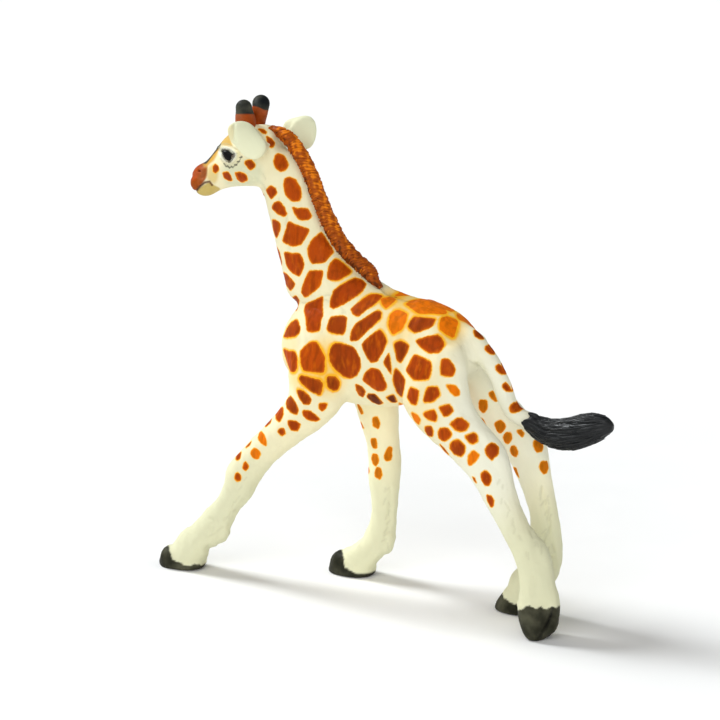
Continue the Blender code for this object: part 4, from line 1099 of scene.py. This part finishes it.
# Strokes: small tapered locks that Geometry Nodes lay over a surface
def strokeTree():
    tree = bpy.data.node_groups.new("laid_strokes", "GeometryNodeTree")
    sockets = tree.interface
    sockets.new_socket("Geometry", in_out="INPUT", socket_type="NodeSocketGeometry")
    for name in ("Spacing", "Length", "Width", "Height"):
        sockets.new_socket(name, in_out="INPUT", socket_type="NodeSocketFloat")
    sockets.new_socket("Seed", in_out="INPUT", socket_type="NodeSocketInt")
    sockets.new_socket("Paint", in_out="INPUT", socket_type="NodeSocketMaterial")
    sockets.new_socket("Geometry", in_out="OUTPUT", socket_type="NodeSocketGeometry")
    given = tree.nodes.new("NodeGroupInput").outputs

    density = added(tree, 4.0, added(tree, given["Spacing"], given["Spacing"], "MULTIPLY"), "DIVIDE")
    share = addNode(tree, "GeometryNodeInputNamedAttribute", {"Name": "strokeShare"}, data_type="FLOAT")
    scattered = addNode(tree, "GeometryNodeDistributePointsOnFaces", {
        "Mesh": given["Geometry"], "Distance Min": given["Spacing"], "Density Max": density,
        "Density Factor": share.outputs["Attribute"], "Seed": given["Seed"]}, distribute_method="POISSON")
    way = addNode(tree, "GeometryNodeInputNamedAttribute", {"Name": "strokeWay"}, data_type="FLOAT_VECTOR")
    turned = addNode(tree, "FunctionNodeAlignRotationToVector", {
        "Rotation": scattered.outputs["Rotation"], "Vector": way.outputs["Attribute"]},
        axis="X", pivot_axis="Z")

    ball = addNode(tree, "GeometryNodeMeshUVSphere", {"Segments": 8, "Rings": 6, "Radius": 0.5})
    position = tree.nodes.new("GeometryNodeInputPosition")
    place = addNode(tree, "ShaderNodeSeparateXYZ", {0: position.outputs[0]})
    taper = mapped(tree, place.outputs["X"], -0.5, 0.5, 1.15, 0.35, smooth=False)
    shaped = addNode(tree, "ShaderNodeCombineXYZ", {
        "X": added(tree, place.outputs["X"], given["Length"], "MULTIPLY"),
        "Y": added(tree, added(tree, place.outputs["Y"], given["Width"], "MULTIPLY"), taper, "MULTIPLY"),
        "Z": added(tree, added(tree, place.outputs["Z"], given["Height"], "MULTIPLY"), taper, "MULTIPLY")})
    lock = addNode(tree, "GeometryNodeSetPosition", {
        "Geometry": ball.outputs["Mesh"], "Position": shaped.outputs["Vector"]})

    size = addNode(tree, "FunctionNodeRandomValue", {"Seed": given["Seed"]}, data_type="FLOAT_VECTOR")
    size.inputs[0].default_value, size.inputs[1].default_value = (0.6, 0.7, 0.6), (1.35, 1.25, 1.3)
    laid = addNode(tree, "GeometryNodeInstanceOnPoints", {
        "Points": scattered.outputs["Points"], "Instance": lock.outputs["Geometry"],
        "Rotation": turned.outputs["Rotation"], "Scale": size.outputs[0]})
    tone = addNode(tree, "FunctionNodeRandomValue", {"Seed": added(tree, given["Seed"], 1.0)},
                   data_type="FLOAT")
    toned = addNode(tree, "GeometryNodeStoreNamedAttribute", {
        "Geometry": laid.outputs["Instances"], "Name": "tone", "Value": tone.outputs[1]},
        data_type="FLOAT", domain="INSTANCE")
    whole = tree.nodes.new("GeometryNodeJoinGeometry")
    tree.links.new(addNode(tree, "GeometryNodeRealizeInstances", {
        "Geometry": toned.outputs["Geometry"]}).outputs["Geometry"], whole.inputs["Geometry"])
    tree.links.new(given["Geometry"], whole.inputs["Geometry"])
    smooth = addNode(tree, "GeometryNodeSetShadeSmooth", {"Geometry": whole.outputs["Geometry"]})
    realized = addNode(tree, "GeometryNodeRealizeInstances", {"Geometry": smooth.outputs["Geometry"]})
    painted = addNode(tree, "GeometryNodeSetMaterial", {
        "Geometry": realized.outputs["Geometry"], "Material": given["Paint"]})
    tree.links.new(painted.outputs["Geometry"], tree.nodes.new("NodeGroupOutput").inputs["Geometry"])
    return tree


strokes = strokeTree()


def layStrokes(piece, settings):  # lengths in settings are in mm
    modifier = piece.modifiers.new("strokes", "NODES")
    modifier.node_group = strokes
    for item in strokes.interface.items_tree:
        if item.in_out == "INPUT" and item.name in settings:
            value = settings[item.name]
            modifier[item.identifier] = value * mm if isinstance(value, float) else value
    graph = bpy.context.evaluated_depsgraph_get()
    laid = bpy.data.meshes.new_from_object(piece.evaluated_get(graph), depsgraph=graph)
    piece.modifiers.remove(modifier)
    piece.data = laid


def nodeSurface(node, voxel, grow):
    space = makeSpace(*boxOf([node], clay["margin"]), voxel)
    window = tuple(slice(0, n) for n in space["count"])
    return surfaceOf(blur(nodeField(node, space, window) - grow, voxel, space), space)


def alongLine(line, places):  # distance along an open line, and how far to its left each place lies
    least, run, side = np.full(len(places), 1e9), np.zeros(len(places)), np.zeros(len(places))
    heading = np.zeros((len(places), 2))
    done = 0.0
    for a, b in zip(line[:-1], line[1:]):
        step = b - a
        length = np.linalg.norm(step)
        held = np.clip(((places - a) @ step) / length ** 2, 0, 1)
        away = np.linalg.norm(places - a - held[:, None] * step, axis=1)
        nearer = away < least
        least[nearer] = away[nearer]
        run[nearer] = (done + held * length)[nearer]
        side[nearer] = ((places - a) @ (np.array([-step[1], step[0]]) / length))[nearer]
        heading[nearer] = step / length
        done += length
    return run, side, heading


def crests(value):  # rounded ridges a unit wide with sharp grooves between them
    return np.abs(np.sin(math.pi * value)) ** 0.6


def blend(colours, amounts):  # paints laid one over another
    total = np.array(colours[0]) * np.ones((len(amounts[0]), 1))
    for colour, amount in zip(colours[1:], amounts):
        total += amount[:, None] * (np.array(colour) - total)
    return total


# Mane: a ridge of short locks that lie across it
mane = {
    "voxel": 0.12, "grow": 0.12, "lockWidth": 0.62, "slant": 0.55, "lockDepth": 0.24, "clumpDepth": 0.16,
    "ridge": [(-15.3, 87.9), (-12.9, 86.2), (-10.2, 83.1), (-7.7, 79.3), (-5.8, 75.1), (-3.9, 71.2),
              (-1.6, 67.7), (1.3, 65.3), (4.4, 63.0), (6.3, 61.1)], "ridgeShift": -7.762,
    "dark": (0.11, 0.020, 0.002), "brown": (0.40, 0.074, 0.002), "orange": (0.86, 0.230, 0.006),
    "strokes": {"Spacing": 0.7, "Length": 1.7, "Width": 0.26, "Height": 0.22, "Seed": 4},
}


def makeMane():
    points, quads = nodeSurface("mane", mane["voxel"], mane["grow"])
    points = press(points, True, **manePress)
    normals = pointNormals(points, quads)
    line = np.array(mane["ridge"]) + (mane["ridgeShift"], 0)
    run, side, heading = alongLine(line, points[:, 1:])
    drop = np.abs(points[:, 0] - midPlane) + np.maximum(0, -side) * 0.5
    warp = 0.5 * waver(points, 3.6, 5) + 0.2 * waver(points, 1.3, 12)
    locks = crests((run + mane["slant"] * drop) / mane["lockWidth"] + warp)
    clumps = crests((run + mane["slant"] * drop) / (mane["lockWidth"] * 2.9) + 0.7 * waver(points, 6.0, 6))
    calm = 0.35 + 0.65 * ease(waver(points, 2.4, 13), -0.6, 0.7)
    out = (locks - 0.6) * mane["lockDepth"] * calm + (clumps - 0.6) * mane["clumpDepth"]
    points = points + normals * out[:, None]
    light = 0.45 * locks * calm + 0.3 * clumps + 0.6 * ease(side, -2.6, 0.2) + 0.35 * waver(points, 1.1, 7)
    light -= 0.3 * ease(run, 18, 30)
    colour = blend((mane["dark"], mane["brown"], mane["orange"]),
                   (ease(light, 0.15, 0.65), ease(light, 0.8, 1.3)))
    ahead = np.stack([np.zeros(len(points)), heading[:, 0], heading[:, 1]], axis=1)
    way = np.cross(ahead, normals) + ahead * (0.3 + 0.3 * waver(points, 1.2, 14))[:, None]
    length = np.linalg.norm(np.diff(line, axis=0), axis=1).sum()
    flank = ease(np.abs(normals[:, 0]), 0.6, 0.9) * ease(-side, 0.7, 1.3)
    share = flank * ease(run, 0.8, 2.0) * ease(length - run, 0.6, 1.6)
    piece = plainObject("mane_locks", points, quads.tolist(), coatColour=colour, strokeWay=way,
                        strokeShare=share)
    paint = hairMaterial("mane_paint", 0.45, mane["orange"], 0.65, 0.12)
    layStrokes(piece, dict(mane["strokes"], Paint=paint))
    return piece


# Tail tuft: strands that run back to a blunt tip
tuft = {
    "voxel": 0.17, "grow": 0.02, "strands": 9, "depth": 0.3, "dark": (0.006, 0.007, 0.008),
    # light is the paler grey of the painted highlights, and the strokes' random crest tone
    "light": (0.040, 0.043, 0.045), "pathSlices": 14,
    "strokes": {"Spacing": 0.62, "Length": 2.9, "Width": 0.36, "Height": 0.30, "Seed": 9},
    "spikes": [((534.5, 417.0), (525.6, 411.0), 0.62), ((533.0, 425.0), (519.6, 421.6), 0.8),
               ((534.0, 431.0), (521.4, 429.2), 0.7), ((545.0, 438.0), (531.0, 436.6), 0.6)],
}


def spikeField(spike, near, space):  # a cone with a round tip, from one pixel to another
    base, tip, radius = atPixel(spike[0], near), atPixel(spike[1], near), spike[2]
    grids = [(np.arange(count) + first) * space["voxel"]
             for first, count in zip(space["start"], space["count"])]
    places = np.stack(np.meshgrid(*grids, indexing="ij"), axis=-1) - base
    run = tip - base
    along = np.clip(places @ run / (run @ run), 0, 1)
    away = np.linalg.norm(places - along[..., None] * run, axis=-1)
    return (away - radius * (1.05 - along)).astype(np.float32)


def makeTuft():
    space = makeSpace(*boxOf(["tail_tuft"], clay["margin"]), tuft["voxel"])
    field = nodeField("tail_tuft", space, tuple(slice(0, n) for n in space["count"])) - tuft["grow"]
    root = (midPlane + 0.9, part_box("tail_tuft")[0][1] / mm + 1.5, 39.0)
    for spike in tuft["spikes"]:
        field = unite(field, spikeField(spike, root, space), 0.7)
    points, quads = surfaceOf(blur(field, tuft["voxel"], space), space)
    normals = pointNormals(points, quads)
    slices = np.linspace(points[:, 1].min(), points[:, 1].max(), tuft["pathSlices"])
    middles = np.array([points[np.abs(points[:, 1] - y) < 0.8, 2].mean() for y in slices])
    up = points[:, 2] - np.interp(points[:, 1], slices, middles)
    around = np.arctan2(points[:, 0] - midPlane, up) / (2 * math.pi)
    wander = 0.035 * waver(points * (1, 0.3, 1), 5.0, 8)
    strands = crests((around + wander) * tuft["strands"])
    out = (strands - 0.6) * tuft["depth"] * ease(slices[-1] - points[:, 1], 0.3, 2.5)
    points = points + normals * out[:, None]
    # Paler grey on the strands' crests and on faces turned up is painted highlight, broken up by a random
    # tone.
    light = 0.6 * strands + 0.5 * waver(points * (1, 0.3, 1), 0.9, 9) + 0.3 * ease(normals[:, 2], 0, 1)
    colour = blend((tuft["dark"], tuft["light"]), (ease(light, 0.7, 1.3) * 0.5,))
    rise = np.interp(points[:, 1], slices, np.gradient(middles, slices))
    way = np.stack([0.12 * waver(points, 2.0, 15), np.ones(len(points)),
                    rise + 0.12 * waver(points, 2.0, 16)],
                   axis=1)
    way -= normals * (way * normals).sum(axis=1)[:, None]
    share = ease(points[:, 1], slices[0] + 2.2, slices[0] + 3.2) * ease(-points[:, 1], -slices[-1] + 1.9,
                                                                      -slices[-1] + 2.8)
    piece = plainObject("tail_tuft_hair", points, quads.tolist(), coatColour=colour, strokeWay=way,
                        strokeShare=share)
    layStrokes(piece, dict(tuft["strokes"], Paint=hairMaterial("tuft_paint", 0.36, tuft["light"], 0.3, 0.3)))
    return piece


def hairMaterial(name, roughness, crestPaint, crestAmount, specular):
    material, tree, shader = nodeMaterial(name)
    colour = mixed(tree, mapped(tree, noiseOf(tree, 1800, 3), 0.35, 0.75, 0.0, 0.3),
                   attribute(tree, "coatColour", "Color"), tuple(c * 0.3 for c in crestPaint))
    tone = attribute(tree, "tone")
    brushed = mixed(tree, mapped(tree, tone, 0.4, 1.0, 0.0, crestAmount), colour, crestPaint)
    tree.links.new(brushed, shader.inputs["Base Color"])
    tree.links.new(mapped(tree, noiseOf(tree, 600, 2), 0.3, 0.7, roughness - 0.06, roughness + 0.08),
                   shader.inputs["Roughness"])
    fur = addNode(tree, "ShaderNodeBump", {"Strength": 0.3, "Distance": 0.0001,
                                           "Height": noiseOf(tree, 2500, 2)})
    tree.links.new(fur.outputs["Normal"], shader.inputs["Normal"])
    shader.inputs["Specular IOR Level"].default_value = specular
    return material


for node, piece in (("mane", makeMane()), ("tail_tuft", makeTuft())):
    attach(piece, "root")
    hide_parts(node)
    print("stage:", node, len(piece.data.polygons), "faces")


# Floor and light
studio = {"floor": 12000.0, "sky": 0.22}
suns = {  # strength, spread in degrees, colour, and direction as parts of the camera's right, up and back
    "key": (2.9, 22.0, (0.95, 0.98, 1.0), (-0.80, 1.0, -0.25)),
    "fill": (1.35, 55.0, (1.0, 1.0, 1.0), (-0.30, 0.30, 1.0)),
    "side": (0.45, 60.0, (1.0, 1.0, 0.97), (0.9, 0.35, 0.5)),
}


def makeFloor():
    size = studio["floor"]
    mesh = bpy.data.meshes.new("floor")
    mesh.from_pydata([(x * size * mm, y * size * mm, 0) for x, y in ((-1, -1), (1, -1), (1, 1), (-1, 1))], [],
                     [(0, 1, 2, 3)])
    floor = bpy.data.objects.new("floor", mesh)
    bpy.context.scene.collection.objects.link(floor)
    material, tree, shader = nodeMaterial("pale_floor")
    grain = mixed(tree, mapped(tree, noiseOf(tree, 40, 2), 0.4, 0.6), (0.93, 0.93, 0.92), (0.94, 0.94, 0.93))
    tree.links.new(grain, shader.inputs["Base Color"])
    shader.inputs["Roughness"].default_value = 0.9
    mesh.materials.append(material)


def makeSun(name, strength, spread, colour, parts):  # a wide, soft light from far away
    data = bpy.data.lights.new(name, "SUN")
    data.energy, data.angle, data.color = strength, math.radians(spread), colour
    direction = camRight * parts[0] + camUp * parts[1] + camBack * parts[2]
    light = bpy.data.objects.new(name, data)
    bpy.context.scene.collection.objects.link(light)
    light.rotation_euler = Vector(direction).to_track_quat("Z", "Y").to_euler()


makeFloor()
for name, values in suns.items():
    makeSun(name, *values)
world = bpy.data.worlds.new("studio")
bpy.context.scene.world = world
world.use_nodes = True
world.node_tree.nodes["Background"].inputs["Color"].default_value = (1, 1, 1, 1)
world.node_tree.nodes["Background"].inputs["Strength"].default_value = studio["sky"]
bpy.context.scene.view_settings.view_transform = "Standard"
print("stage: studio")
